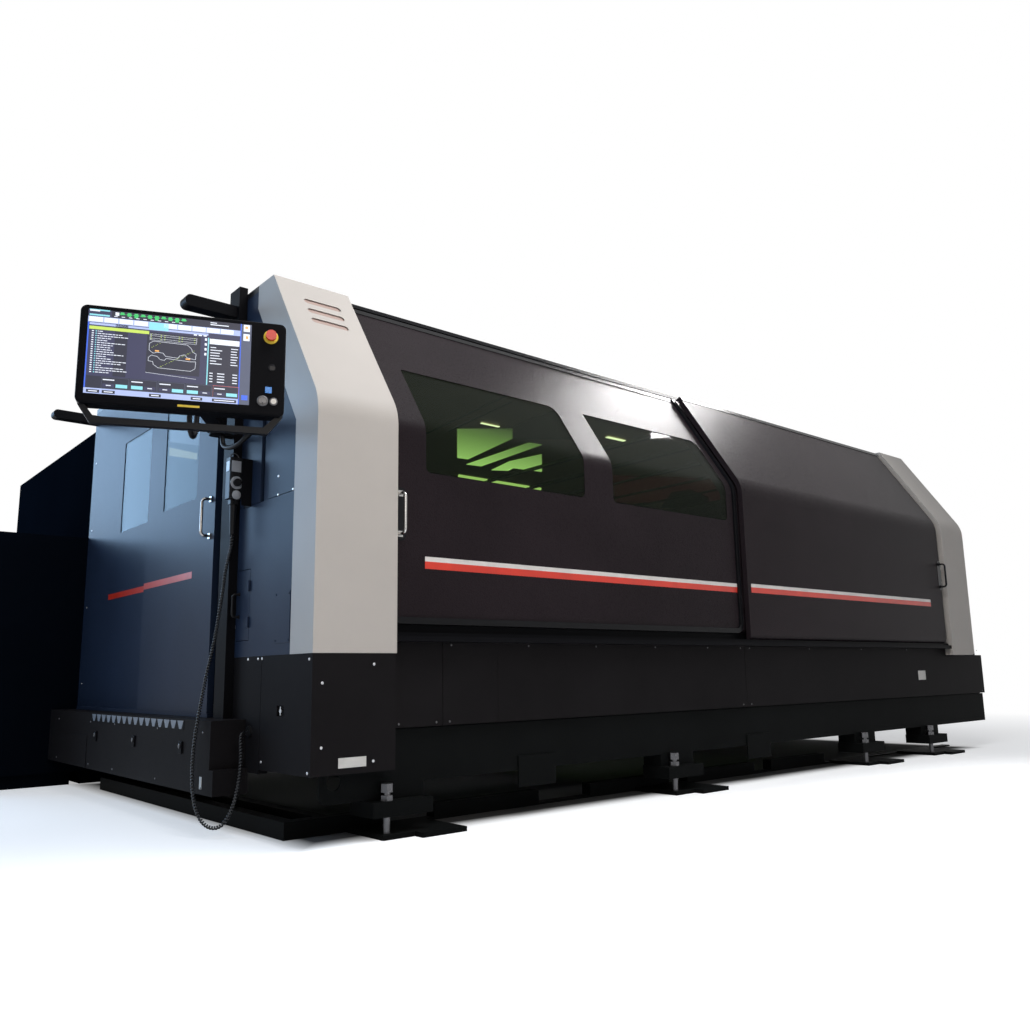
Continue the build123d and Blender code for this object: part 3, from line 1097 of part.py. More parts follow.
os.makedirs("parts", exist_ok=True)
for name, shape in nodes.items():
    moved = Pos(-origin[0], -origin[1], 0) * shape
    export_step(moved, "parts/" + name + ".step")
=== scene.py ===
import math

import bpy
from mathutils import Matrix, Vector


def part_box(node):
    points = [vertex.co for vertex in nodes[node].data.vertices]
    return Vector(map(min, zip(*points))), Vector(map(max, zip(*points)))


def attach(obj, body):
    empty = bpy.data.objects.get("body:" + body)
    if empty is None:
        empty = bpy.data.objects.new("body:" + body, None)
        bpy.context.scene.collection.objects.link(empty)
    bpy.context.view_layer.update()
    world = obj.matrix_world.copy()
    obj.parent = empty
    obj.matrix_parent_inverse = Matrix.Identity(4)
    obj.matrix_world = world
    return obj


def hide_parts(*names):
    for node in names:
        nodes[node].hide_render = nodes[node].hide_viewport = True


# Looks of the laser cutting machine, in metres. The machine's front left corner, on the floor,
# is the point that the places below are measured from: X along the front, Y inwards, Z up.

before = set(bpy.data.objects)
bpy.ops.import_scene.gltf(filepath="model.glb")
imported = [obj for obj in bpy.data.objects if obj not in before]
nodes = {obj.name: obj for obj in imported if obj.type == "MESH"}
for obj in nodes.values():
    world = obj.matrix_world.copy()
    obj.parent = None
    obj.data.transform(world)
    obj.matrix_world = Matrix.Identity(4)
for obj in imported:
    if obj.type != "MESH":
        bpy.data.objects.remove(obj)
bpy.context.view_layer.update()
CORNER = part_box("left_pillar")[0]

# Driving sizes
SLOPE = math.radians(33.3)
BEND_HEIGHT = 1.750
LEFT_DOOR_FACE = 0.060
RIGHT_DOOR_FACE = 0.015
STRIPE_LOW = 1.092
STRIPE_RED = 0.032
STRIPE_WHITE = 0.021
FILM = 0.0006
CONSOLE_CENTRE = (-0.520, 0.053, 1.791)
CONSOLE_YAW = math.radians(-22)
SCREEN_LEFT = -0.335
SCREEN_TOP = 0.1695
SCREEN_WIDTH = 0.569
SCREEN_HEIGHT = 0.319
STOP_PLACE = (0.303, 0.125)
BLUE_PLACE = (0.300, -0.085)
KEY_PLACE = (0.280, -0.128)
WHITE_PLACE = (0.320, -0.128)
SENSOR_PLACE = (0.310, 0.005)
SEAL_WIDTH = 0.028
SEAL_THICKNESS = 0.012
BEND_RADIUS = 0.220
LEAF_FACE = -0.038
PANEL_FACE = 0.060
HANDSET_X = -0.062
HANDSET_FACE = 0.6212
SCREEN_STEP = 0.0002

# Cords: the points of their routes, and the real sizes of the cords
CORD_ROUTE = (
    (-0.062, 0.650, 1.262), (-0.062, 0.650, 1.218), (-0.058, 0.688, 1.168), (-0.055, 0.722, 1.118),
    (-0.060, 0.727, 1.030), (-0.068, 0.742, 0.920), (-0.084, 0.738, 0.800), (-0.112, 0.734, 0.680),
    (-0.143, 0.706, 0.560), (-0.167, 0.674, 0.478), (-0.187, 0.662, 0.363), (-0.191, 0.656, 0.228),
    (-0.184, 0.630, 0.116), (-0.160, 0.578, 0.046), (-0.118, 0.515, 0.042), (-0.084, 0.482, 0.118),
    (-0.066, 0.474, 0.220), (-0.058, 0.480, 0.304), (-0.053, 0.498, 0.362), (-0.046, 0.519, 0.401),
    (-0.030, 0.535, 0.418), (-0.010, 0.535, 0.418))
CORD_RADIUS = 0.0085
WIRE_RADIUS = 0.0038
COIL_PITCH = 0.0125
PLAIN_END = 0.026
COIL_EASE = 0.02
PANEL_HOSE_ROUTE = (
    (0.0, 0.526, 1.716), (-0.030, 0.526, 1.716), (-0.058, 0.540, 1.688), (-0.070, 0.585, 1.662),
    (-0.080, 0.640, 1.654), (-0.086, 0.700, 1.662), (-0.088, 0.738, 1.690), (-0.088, 0.738, 1.7247))
ARM_HOSE_ROUTE = (
    (0.0, 0.0), (0.0, -0.060), (0.010, -0.106), (0.042, -0.138), (0.088, -0.138), (0.120, -0.106),
    (0.130, -0.060), (0.130, 0.0))
ARM_HOSE_START = 0.3972
ARM_HOSE_TOP = 1.737
ARM_PIVOT = (-0.112, 0.746)
SWIVEL_OFFSET = 0.206
HOSE_RADIUS = 0.011

# Camera, as solved from the photograph
CAMERA_PLACE = (-1.653, -3.119, 0.635)
CAMERA_HEADING = 40.68
CAMERA_RISE = 10.10
CAMERA_ROLL = 0.956
FOCAL_LENGTH = 31.24
SENSOR = 36.0

# White that the floor shows by itself where it is seen directly, over its own lit colour
FLOOR_LIFT = 0.45
# Share of its colour that the floor keeps under the machine: painted shade
FLOOR_PAINTED_SHADE = 0.12
FLOOR_FADE_START = 4.5
FLOOR_FADE_END = 9.0
FLOOR_HALF = 60

# Ground under the machine, in the frame's own coordinates, where the floor's colour is darkened: painted
# shade
FOOTPRINT_CENTRE = (0.34, -1.03, 0.0)
FOOTPRINT_HALF = (2.85, 1.40, 10.0)
FOOTPRINT_FADE = 0.16

FULL_WHITE = (1, 1, 1, 1)
SKY_COLOUR = (0.84, 0.90, 1.0, 1)
SKY_STRENGTH = 0.22


def at(x, y, z):
    """A place given from the front left corner, in the machine's own frame."""
    return Vector((CORNER.x + x, CORNER.y + y, z))


# Materials


def new_object(name, data):
    """New object in the scene."""
    made = bpy.data.objects.new(name, data)
    bpy.context.scene.collection.objects.link(made)
    return made


def feed(tree, node, socket, value):
    """Gives an input a value, or links it to another node's output."""
    if isinstance(value, bpy.types.NodeSocket):
        tree.links.new(value, node.inputs[socket])
    else:
        node.inputs[socket].default_value = value


def new_node(tree, kind, values=None, operation=None):
    """Node of a kind, with its inputs fed."""
    node = tree.nodes.new(kind)
    if operation:
        node.operation = operation
    for socket, value in (values or {}).items():
        feed(tree, node, socket, value)
    return node


def calculated(tree, operation, first, second):
    """Outcome of an operation on two values."""
    return new_node(tree, "ShaderNodeMath", {0: first, 1: second}, operation).outputs["Value"]


def vector_of(tree, operation, values, outcome="Vector"):
    """Outcome of an operation on vectors."""
    return new_node(tree, "ShaderNodeVectorMath", values, operation).outputs[outcome]


def map_range(tree, value, low, high, start=0.0, end=1.0):
    """Number that goes from start to end while a value goes from low to high."""
    values = {"Value": value, "From Min": low, "From Max": high, "To Min": start, "To Max": end}
    return new_node(tree, "ShaderNodeMapRange", values).outputs["Result"]


def object_place(tree):
    """Coordinates of the object itself."""
    return new_node(tree, "ShaderNodeTexCoord").outputs["Object"]


def new_material(name):
    """Material with its shader and node tree."""
    material = bpy.data.materials.new(name)
    material.use_nodes = True
    tree = material.node_tree
    shader = tree.nodes["Principled BSDF"]
    return material, tree, shader


def noise(tree, scale, detail=4.0, roughness=0.6):
    """Noise in the object's own coordinates."""
    values = {"Vector": object_place(tree), "Scale": scale, "Detail": detail, "Roughness": roughness}
    return new_node(tree, "ShaderNodeTexNoise", values).outputs["Fac"]


def ramp(tree, source, low, high, span=(0.3, 0.7)):
    """Colour that goes from one to another while a value crosses a span."""
    node = new_node(tree, "ShaderNodeValToRGB", {"Fac": source})
    for element, position, colour in zip(node.color_ramp.elements, span, (low, high)):
        element.position = position
        element.color = (*colour, 1)
    return node.outputs["Color"]


def add_bump(tree, shader, height, strength, distance):
    """Bump from a height."""
    values = {"Strength": strength, "Distance": distance, "Height": height}
    feed(tree, shader, "Normal", new_node(tree, "ShaderNodeBump", values).outputs["Normal"])


def shade(colour, factor):
    """A colour made lighter or darker."""
    return tuple(min(1.0, channel * factor) for channel in colour)


def powder_coat(name, colour, roughness=0.42, grain=900.0, strength=0.25, spread=0.08, specular=0.5,
                relief=0.0006):
    """Powder coat: a fine leathery grain, faint clouding and uneven gloss."""
    material, tree, shader = new_material(name)
    clouds = noise(tree, 2.2, 3.0)
    feed(tree, shader, "Base Color", ramp(tree, clouds, shade(colour, 1 - spread), shade(colour, 1 + spread)))
    grains = noise(tree, grain, 2.0, 0.5)
    low, high = roughness - 0.06, roughness + 0.08
    feed(tree, shader, "Roughness", ramp(tree, grains, (low,) * 3, (high,) * 3, (0.35, 0.65)))
    feed(tree, shader, "Specular IOR Level", specular)
    add_bump(tree, shader, grains, strength, relief)
    return material


def metal(name, colour, roughness=0.25, grain=60.0, strength=0.05):
    """Bright metal with a faint unevenness."""
    material, tree, shader = new_material(name)
    marks = noise(tree, grain, 5.0)
    feed(tree, shader, "Base Color", ramp(tree, marks, shade(colour, 0.86), colour))
    low, high = max(0.03, roughness - 0.08), roughness + 0.1
    feed(tree, shader, "Roughness", ramp(tree, marks, (low,) * 3, (high,) * 3, (0.3, 0.75)))
    feed(tree, shader, "Metallic", 1.0)
    add_bump(tree, shader, marks, strength, 0.001)
    return material


def plastic(name, colour, roughness=0.35, grain=400.0, strength=0.12, specular=0.5):
    """Moulded plastic or rubber."""
    material, tree, shader = new_material(name)
    clouds = noise(tree, 8.0, 3.0)
    feed(tree, shader, "Base Color", ramp(tree, clouds, shade(colour, 0.9), shade(colour, 1.08)))
    feed(tree, shader, "Roughness", roughness)
    feed(tree, shader, "Specular IOR Level", specular)
    add_bump(tree, shader, noise(tree, grain, 2.0), strength, 0.0004)
    return material


def tinted_glass(name, colour, density, specular):
    """Tinted pane: a dark film that lets the rest of the light through."""
    material, tree, shader = new_material(name)
    clouds = noise(tree, 3.0, 2.0)
    tint = ramp(tree, clouds, shade(colour, 0.92), shade(colour, 1.06), (0.2, 0.8))
    feed(tree, shader, "Base Color", tint)
    feed(tree, shader, "Roughness", 0.03)
    feed(tree, shader, "Specular IOR Level", specular)
    feed(tree, shader, "Alpha", density)
    return material


def glow(name, colour, strength):
    """Surface that gives off light, with a faint unevenness: the screen's own light, and painted light on
    glowing parts that are no lamps.
    """
    material, tree, shader = new_material(name)
    clouds = noise(tree, 30.0, 2.0)
    feed(tree, shader, "Emission Color", ramp(tree, clouds, shade(colour, 0.9), colour, (0.2, 0.8)))
    feed(tree, shader, "Base Color", (*shade(colour, 0.3), 1))
    feed(tree, shader, "Emission Strength", strength)
    feed(tree, shader, "Roughness", 0.4)
    return material


# Each coat: its colour, roughness, grain, bump strength, clouding, specular level and relief
PILLAR = powder_coat("pillar_paint", (0.47, 0.430, 0.39), 0.42, 500.0, 0.18, 0.03, 0.12)
DOOR = powder_coat("door_paint", (0.0165, 0.0120, 0.0138), 0.30, 170.0, 0.85, 0.12, 0.036, 0.0016)
PANEL = powder_coat("panel_paint", (0.0110, 0.0100, 0.0105), 0.45, 400.0, 0.30, 0.10, 0.015)
BASE = powder_coat("base_paint", (0.0060, 0.0065, 0.0065), 0.50, 300.0, 0.30, 0.14, 0.012)
# The end coat's blue is partly painted light: the blue cast of the light that falls on the machine's left end
END = powder_coat("end_paint", (0.017, 0.026, 0.048), 0.36, 500.0, 0.25, 0.08, 0.05)
BLACK = powder_coat("black_paint", (0.0055, 0.0055, 0.0065), 0.40, 500.0, 0.20, 0.10, 0.02)
GREY = powder_coat("grey_paint", (0.0028, 0.0042, 0.0070), 0.60, 400.0, 0.25, 0.08, 0.0)
INNER_GREY = powder_coat("inner_grey_paint", (0.055, 0.060, 0.058), 0.45, 400.0, 0.25, 0.08, 0.10)
ROOF = powder_coat("roof_paint", (0.010, 0.010, 0.011), 0.35, 400.0, 0.20, 0.06, 0.10)
CHROME = metal("chrome", (0.42, 0.41, 0.40), 0.16, 40.0, 0.03)
TOOTH = powder_coat("tooth_paint", (0.13, 0.15, 0.18), 0.40, 300.0, 0.20, 0.20)
# Painted highlight on the front edge of the lower track
PAINTED_EDGE_HIGHLIGHT = powder_coat("painted_edge_highlight", (0.26, 0.245, 0.235), 0.38, 500.0, 0.20, 0.06)
DARK_STEEL = metal("dark_steel", (0.10, 0.10, 0.105), 0.35, 90.0, 0.10)
HAND_GREY = plastic("hand_grey", (0.30, 0.31, 0.33), 0.35)
VENT_BACK = powder_coat("vent_back", (0.36, 0.25, 0.21), 0.55, 300.0, 0.15, 0.12)
CEILING = powder_coat("ceiling", (0.20, 0.135, 0.075), 0.60, 200.0, 0.20, 0.15)
JOIST = powder_coat("joist", (0.030, 0.030, 0.022), 0.60, 200.0, 0.20, 0.10)
# Faint glow of the red sheet in the cabin: painted light
PAINTED_RED_GLOW = glow("painted_red_glow", (0.20, 0.012, 0.018), 0.10)
GREEN_GLOW = glow("green_glow", (0.45, 0.80, 0.18), 1.9)
# Glowing bars for the overhead lights that the door windows reflect: painted reflections
LAMP_REFLECTION_GLOW = glow("painted_lamp_reflection", (0.80, 1.0, 0.50), 3.0)
# Glowing bar behind the end door's window: painted light
PAINTED_LIGHT_BAR = glow("painted_light_bar", (0.75, 0.80, 0.42), 0.8)
STEEL = metal("zinc_steel", (0.52, 0.53, 0.55), 0.32, 90.0, 0.10)
# Black rubber of the door seal, also used for the painted shade of the dark gap under the roof's edge
SEAL_RUBBER_AND_GAP_SHADE = plastic("seal_rubber_and_gap_shade", (0.006, 0.006, 0.007), 0.25, 200.0, 0.08, 0.10)
GLOSS_BLACK = plastic("gloss_black", (0.006, 0.006, 0.008), 0.12, 200.0, 0.02, 0.15)
RAW_STEEL = metal("raw_steel", (0.30, 0.28, 0.26), 0.45, 40.0, 0.20)
PLASTIC = plastic("black_plastic", (0.010, 0.010, 0.011), 0.38, 400.0, 0.12, 0.10)
RUBBER = plastic("rubber", (0.008, 0.008, 0.009), 0.45, 300.0, 0.2, 0.15)
CORD_BLACK = plastic("cord_black", (0.010, 0.011, 0.013), 0.30, 300.0, 0.05, 0.35)
RED = plastic("red_plastic", (0.62, 0.028, 0.012), 0.25)
YELLOW = plastic("yellow_plastic", (0.72, 0.50, 0.02), 0.35)
BLUE = plastic("blue_plastic", (0.01, 0.20, 0.60), 0.25)
WHITE = plastic("white_plastic", (0.72, 0.66, 0.58), 0.30)
LABEL = plastic("label_film", (0.62, 0.60, 0.56), 0.45, 400.0, 0.05, 0.1)
STRIPE_RED_FILM = plastic("red_film", (0.60, 0.030, 0.012), 0.30, 500.0, 0.05)
STRIPE_WHITE_FILM = plastic("white_film", (0.66, 0.62, 0.58), 0.30, 500.0, 0.05)
FRONT_GLASS = tinted_glass("front_glass", (0.010, 0.014, 0.008), 0.42, 0.06)
END_GLASS = tinted_glass("end_glass", (0.040, 0.085, 0.115), 0.56, 0.06)
SCREEN = {name: glow("screen_" + name, colour, 1.0) for name, colour in (
    ("dark", (0.012, 0.014, 0.035)), ("navy", (0.030, 0.032, 0.085)), ("slate", (0.075, 0.090, 0.150)),
    ("pale", (0.42, 0.50, 0.80)), ("white", (0.85, 0.90, 1.0)), ("cyan", (0.28, 0.72, 0.80)),
    ("green", (0.06, 0.55, 0.16)), ("lime", (0.55, 0.72, 0.12)), ("blue", (0.05, 0.14, 0.75)),
    ("orange", (0.85, 0.42, 0.12)), ("red", (0.62, 0.13, 0.10)))}

NODES_IN = (
    (PILLAR, "left_pillar right_pillar"),
    (DOOR, "left_front_door right_front_door"),
    (FRONT_GLASS, "left_door_windows"),
    (END_GLASS, "fixed_window sliding_window"),
    (CHROME, "left_door_handle sliding_handle"),
    (GLOSS_BLACK, "right_door_handle"),
    (PLASTIC, "service_door_handle console_handle pendant_body pendant_knob"),
    (BASE, "base_frame anchor_plates floor_rails bed_walls pallet_frame right_end_boxes"),
    (PANEL, "lower_panel_left lower_panel_middle lower_panel_right corner_cabinet end_skirt step_box"),
    (PANEL, "rear_wall right_wall"),
    (STEEL, "cabinet_latch gantry_rails"),
    (DARK_STEEL, "levelling_bolts key_switch"),
    (END, "end_panel_upper end_panel_lower service_door end_frame fixed_leaf sliding_leaf"),
    (BLACK, "mast top_arms console_housing console_screen console_yoke console_arm"),
    (BLACK, "pendant_holder door_tracks front_frame"),
    (RED, "emergency_stop"),
    (BLUE, "blue_button"),
    (WHITE, "white_button"),
    (RUBBER, "cord_grommet pendant_cord arm_hose console_hose"),
    (ROOF, "roof_panel"),
    (INNER_GREY, "gantry_beam carriage cutting_head"),
    (RAW_STEEL, "support_slats"),
    (GREY, "rear_cabinets"),
)
MATERIAL_OF = {name: material for material, names in NODES_IN for name in names.split()}


def paint_nodes():
    """Gives every CAD node its material."""
    for name, node in nodes.items():
        node.data.materials.clear()
        node.data.materials.append(MATERIAL_OF[name])


# Mesh helpers


def mesh_piece(name, points, faces, material, body):
    """New piece from points and faces, riding on a body."""
    mesh = bpy.data.meshes.new(name)
    mesh.from_pydata([tuple(point) for point in points], [], faces)
    mesh.update()
    piece = new_object(name, mesh)
    mesh.materials.append(material)
    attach(piece, body)
    return piece


def plate(name, low, high, material, body, edge=0.0):
    """Plate between two corners given from the front left corner, with eased edges."""
    a, b = at(*low), at(*high)
    points = [(x, y, z) for x in (a.x, b.x) for y in (a.y, b.y) for z in (a.z, b.z)]
    faces = [(0, 1, 3, 2), (4, 6, 7, 5), (0, 4, 5, 1), (2, 3, 7, 6), (0, 2, 6, 4), (1, 5, 7, 3)]
    piece = mesh_piece(name, points, faces, material, body)
    if edge:
        bevel = piece.modifiers.new("edge", "BEVEL")
        bevel.width = edge
        bevel.segments = 2
    return piece


def ring(centre, axis, radius, count):
    """Points of a circle about an axis."""
    direction = Vector(axis).normalized()
    side = direction.orthogonal().normalized()
    other = direction.cross(side)
    return [centre + radius * (math.cos(turn) * side + math.sin(turn) * other)
            for turn in (2 * math.pi * step / count for step in range(count))]


def turned(name, centre, axis, profile, material, body, count=32):
    """Turned piece: the profile gives a radius at each distance along the axis."""
    direction = Vector(axis).normalized()
    rows = [ring(centre + direction * distance, direction, radius, count) for distance, radius in profile]
    return swept_band(name, rows, material, body, 40)


def smooth(piece, angle):
    """Smooth shading that keeps sharp edges."""
    for polygon in piece.data.polygons:
        polygon.use_smooth = True
    split = piece.modifiers.new("sharp", "EDGE_SPLIT")
    split.split_angle = math.radians(angle)


def join_quads(name, quads, material, body):
    """One flat piece of several four-sided faces, each given by its corners."""
    points = [corner for quad in quads for corner in quad]
    faces = [tuple(range(4 * index, 4 * index + 4)) for index in range(len(quads))]
    return mesh_piece(name, points, faces, material, body)


def tube_faces(rows, count, start=0):
    """Faces of a closed tube, whose rings of corners follow each other from a first corner on."""
    faces = []
    for row in range(rows - 1):
        first = start + row * count
        for step in range(count):
            a, b = first + step, first + (step + 1) % count
            faces.append((a, b, b + count, a + count))
    end = start + rows * count
    return [*faces, tuple(reversed(range(start, start + count))), tuple(range(end - count, end))]


def swept_band(name, rows, material, body, angle=50):
    """Band swept along a path: each row holds the corners of its section."""
    points = [point for row in rows for point in row]
    piece = mesh_piece(name, points, tube_faces(len(rows), len(rows[0])), material, body)
    smooth(piece, angle)
    return piece


def slab(name, rings, material, body):
    """Slab between two rings of corners."""
    first, second = rings
    faces = [face[::-1] for face in tube_faces(2, len(first))]
    return mesh_piece(name, [*first, *second], faces, material, body)


def front_profile(depth, low, high, steps=10):
    """Points (y, z) of the bent front at a depth behind the pillar face, from low to high."""
    radius = BEND_RADIUS - depth
    bend_z = BEND_HEIGHT - depth * math.tan(SLOPE / 2)
    arc_z = bend_z - radius * math.tan(SLOPE / 2)
    line = [(depth, low), (depth, arc_z)]
    for step in range(1, steps + 1):
        turn = SLOPE * step / steps
        line.append((depth + radius * (1 - math.cos(turn)), arc_z + radius * math.sin(turn)))
    y, z = line[-1]
    line.append((y + (high - z) * math.tan(SLOPE), high))
    return line


def screws(name, places, axis, radius, material, body, height=0.003):
    """Pan head screws, all in one piece."""
    direction = Vector(axis).normalized()
    count = 12
    profile = ((0, radius), (height * 0.6, radius * 0.92), (height, radius * 0.55))
    points, faces = [], []
    for place in places:
        faces += tube_faces(len(profile), count, len(points))
        for distance, size in profile:
            points += ring(at(*place) + direction * distance, direction, size, count)
    return mesh_piece(name, points, faces, material, body)


# Cords


def route_curve(name, places, radius=0.0):
    """Smooth curve through a cord's route."""
    data = bpy.data.curves.new(name, "CURVE")
    data.dimensions = "3D"
    data.resolution_u = 12
    data.bevel_depth = radius
    data.bevel_resolution = 5
    data.use_fill_caps = True
    spline = data.splines.new("NURBS")
    spline.points.add(len(places) - 1)
    for point, place in zip(spline.points, places):
        point.co = (*place, 1)
    spline.order_u = 3
    spline.use_endpoint_u = True
    return new_object(name, data)


def mesh_of(piece):
    """Mesh of a curve."""
    bpy.context.view_layer.update()
    graph = bpy.context.evaluated_depsgraph_get()
    return bpy.data.meshes.new_from_object(piece.evaluated_get(graph))


def line_of(piece):
    """Points along a curve that has no bevel."""
    mesh = mesh_of(piece)
    line = [vertex.co.copy() for vertex in mesh.vertices]
    bpy.data.meshes.remove(mesh)
    return line


def hose(name, places, node, body):
    """Plain hose between two glands."""
    piece = route_curve(name, places, HOSE_RADIUS)
    piece.data.materials.append(RUBBER)
    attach(piece, body)
    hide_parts(node)


def console_hoses():
    """Hose from the cabin wall to the mast, and the loop under the arm."""
    hose("panel_hose", [at(*place) for place in PANEL_HOSE_ROUTE], "console_hose", "cabin")
    swivel = Vector(CONSOLE_CENTRE) + Matrix.Rotation(CONSOLE_YAW, 3, "Z") @ Vector((0, SWIVEL_OFFSET, 0))
    heading = math.atan2(swivel.y - ARM_PIVOT[1], swivel.x - ARM_PIVOT[0])
    places = []
    for along, drop in ARM_HOSE_ROUTE:
        reach = ARM_HOSE_START + along
        places.append(at(ARM_PIVOT[0] + reach * math.cos(heading), ARM_PIVOT[1] + reach * math.sin(heading),
                         ARM_HOSE_TOP + drop))
    hose("arm_loop_hose", places, "arm_hose", "swing_arm")


def resampled(line, step):
    """Points at even steps along a line."""
    result = [line[0].copy()]
    left = step
    for a, b in zip(line, line[1:]):
        run = (b - a).length
        travelled = 0.0
        while run - travelled >= left:
            travelled += left
            result.append(a.lerp(b, travelled / run))
            left = step
        left -= run - travelled
    result.append(line[-1].copy())
    return result


def curly_cord():
    """Coiled cord of the hand controller: a wire wound round the route, with a short plain end."""
    route = route_curve("cord_route", [at(*place) for place in CORD_ROUTE])
    route.data.resolution_u = 40
    line = line_of(route)
    bpy.data.objects.remove(route)
    turn_steps = 16
    step = COIL_PITCH / turn_steps
    line = resampled(line, step)
    total = step * (len(line) - 1)
    wire = []
    side = (line[1] - line[0]).orthogonal().normalized()
    coil_radius = CORD_RADIUS - WIRE_RADIUS
    for index, place in enumerate(line):
        before, after = line[max(index - 1, 0)], line[min(index + 1, len(line) - 1)]
        along = (after - before).normalized()
        side = (side - along * side.dot(along)).normalized()
        other = along.cross(side)
        turn = 2 * math.pi * index / turn_steps
        travelled = index * step
        ease = min(1.0, travelled / COIL_EASE, max(0.0, (total - travelled - PLAIN_END) / COIL_EASE))
        radius = coil_radius * ease
        wire.append(place + radius * (math.cos(turn) * side + math.sin(turn) * other))
    data = bpy.data.curves.new("cord_wire", "CURVE")
    data.dimensions = "3D"
    data.bevel_depth = WIRE_RADIUS
    data.bevel_resolution = 2
    data.use_fill_caps = True
    spline = data.splines.new("POLY")
    spline.points.add(len(wire) - 1)
    for point, place in zip(spline.points, wire):
        point.co = (*place, 1)
    winding = new_object("cord_wire", data)
    mesh = mesh_of(winding)
    bpy.data.objects.remove(winding)
    piece = new_object("curly_cord", mesh)
    mesh.materials.clear()
    mesh.materials.append(CORD_BLACK)
    for polygon in mesh.polygons:
        polygon.use_smooth = True
    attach(piece, "cabin")
    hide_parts("pendant_cord")


# Stripes and labels


def door_stripes():
    """Stripe of white over red film along both doors."""
    middle = STRIPE_LOW + STRIPE_RED
    high = middle + STRIPE_WHITE
    for side, face, start, end in (("left", LEFT_DOOR_FACE, 0.560, 2.815),
                                   ("right", RIGHT_DOOR_FACE, 2.893, 5.215)):
        body, front = side + "_door", face - FILM
        plate(side + "_red_stripe", (start, front, STRIPE_LOW), (end, face, middle), STRIPE_RED_FILM, body)
        plate(side + "_white_stripe", (start, front, middle), (end, face, high), STRIPE_WHITE_FILM, body)


def end_door_stripes():
    """Red stripe over both leaves of the end door."""
    low, high = 1.117, 1.150
    front = LEAF_FACE - FILM
    plate("sliding_leaf_stripe", (front, 1.165, low), (LEAF_FACE, 1.848, high), STRIPE_RED_FILM, "end_door")
    plate("fixed_leaf_stripe", (-FILM, 1.860, low), (0, 2.596, high), STRIPE_RED_FILM, "cabin")


def door_seal():
    """Rubber seal along the lower edge of the left door and up its front, before the seam."""
    left, right, low, high, corner = 0.400, 2.842, 0.852, 2.395, 0.060
    front, back = LEFT_DOOR_FACE - SEAL_THICKNESS, LEFT_DOOR_FACE + 0.001
    corner_x, corner_z = right - corner, low + corner
    path = [(x, low, 0, 1) for x in (left, (left + right) / 2, corner_x)]
    for step in range(1, 9):
        turn = math.pi / 2 * step / 8
        aside, up = math.sin(turn), math.cos(turn)
        path.append((corner_x + corner * aside, corner_z - corner * up, aside, up))
    rows = []
    for x, z, aside, up in path:
        inner_x, inner_z = x - SEAL_WIDTH * aside, z + SEAL_WIDTH * up
        rows.append([at(x, front, z), at(x, back, z),
                     at(inner_x, back, inner_z), at(inner_x, front, inner_z)])
    inner = right - SEAL_WIDTH
    front_line, back_line = front_profile(front, corner_z, high), front_profile(back, corner_z, high)
    for (front_y, front_z), (back_y, back_z) in zip(front_line[1:], back_line[1:]):
        rows.append([at(right, front_y, front_z), at(right, back_y, back_z),
                     at(inner, back_y, back_z), at(inner, front_y, front_z)])
    swept_band("door_seal", rows, SEAL_RUBBER_AND_GAP_SHADE, "left_door")


def slope_place(x, height, depth):
    """Place on the sloping front at a height, some way behind the pillar's face."""
    return at(x, depth + (height - BEND_HEIGHT + depth * math.tan(SLOPE / 2)) * math.tan(SLOPE), height)


def slope_slab(name, left, right, low, high, depths, material, body):
    """Slab on the sloping front, between two depths behind the pillar's face."""
    corners = ((left, low), (right, low), (right, high), (left, high))
    rings = [[slope_place(x, z, depth) for x, z in corners] for depth in depths]
    slab(name, rings, material, body)


def vent_backs():
    """Filter pad behind the slots in the left pillar's slope."""
    slope_slab("vent_pad", 0.080, 0.330, 2.150, 2.350, (0.006, 0.010), VENT_BACK, "cabin")


def flat_shape(name, outline, height, thickness, material):
    """Flat plate in the cabin with a many-cornered outline, at a height."""
    rings = [[at(x, y, z) for x, y in outline] for z in (height, height + thickness)]
    slab(name, rings, material, "cabin")


def fading_glow(name, colour, strength, start, end):
    """Glowing sheet, painted light, that grows brighter from one depth of the cabin to another."""
    material, tree, shader = new_material(name)
    parts = new_node(tree, "ShaderNodeSeparateXYZ", {0: object_place(tree)}).outputs
    brightness = map_range(tree, parts["Y"], CORNER.y + start, CORNER.y + end, 0.0, strength)
    feed(tree, shader, "Emission Strength", brightness)
    feed(tree, shader, "Emission Color", (*colour, 1))
    feed(tree, shader, "Base Color", (*shade(colour, 0.1), 1))
    return material


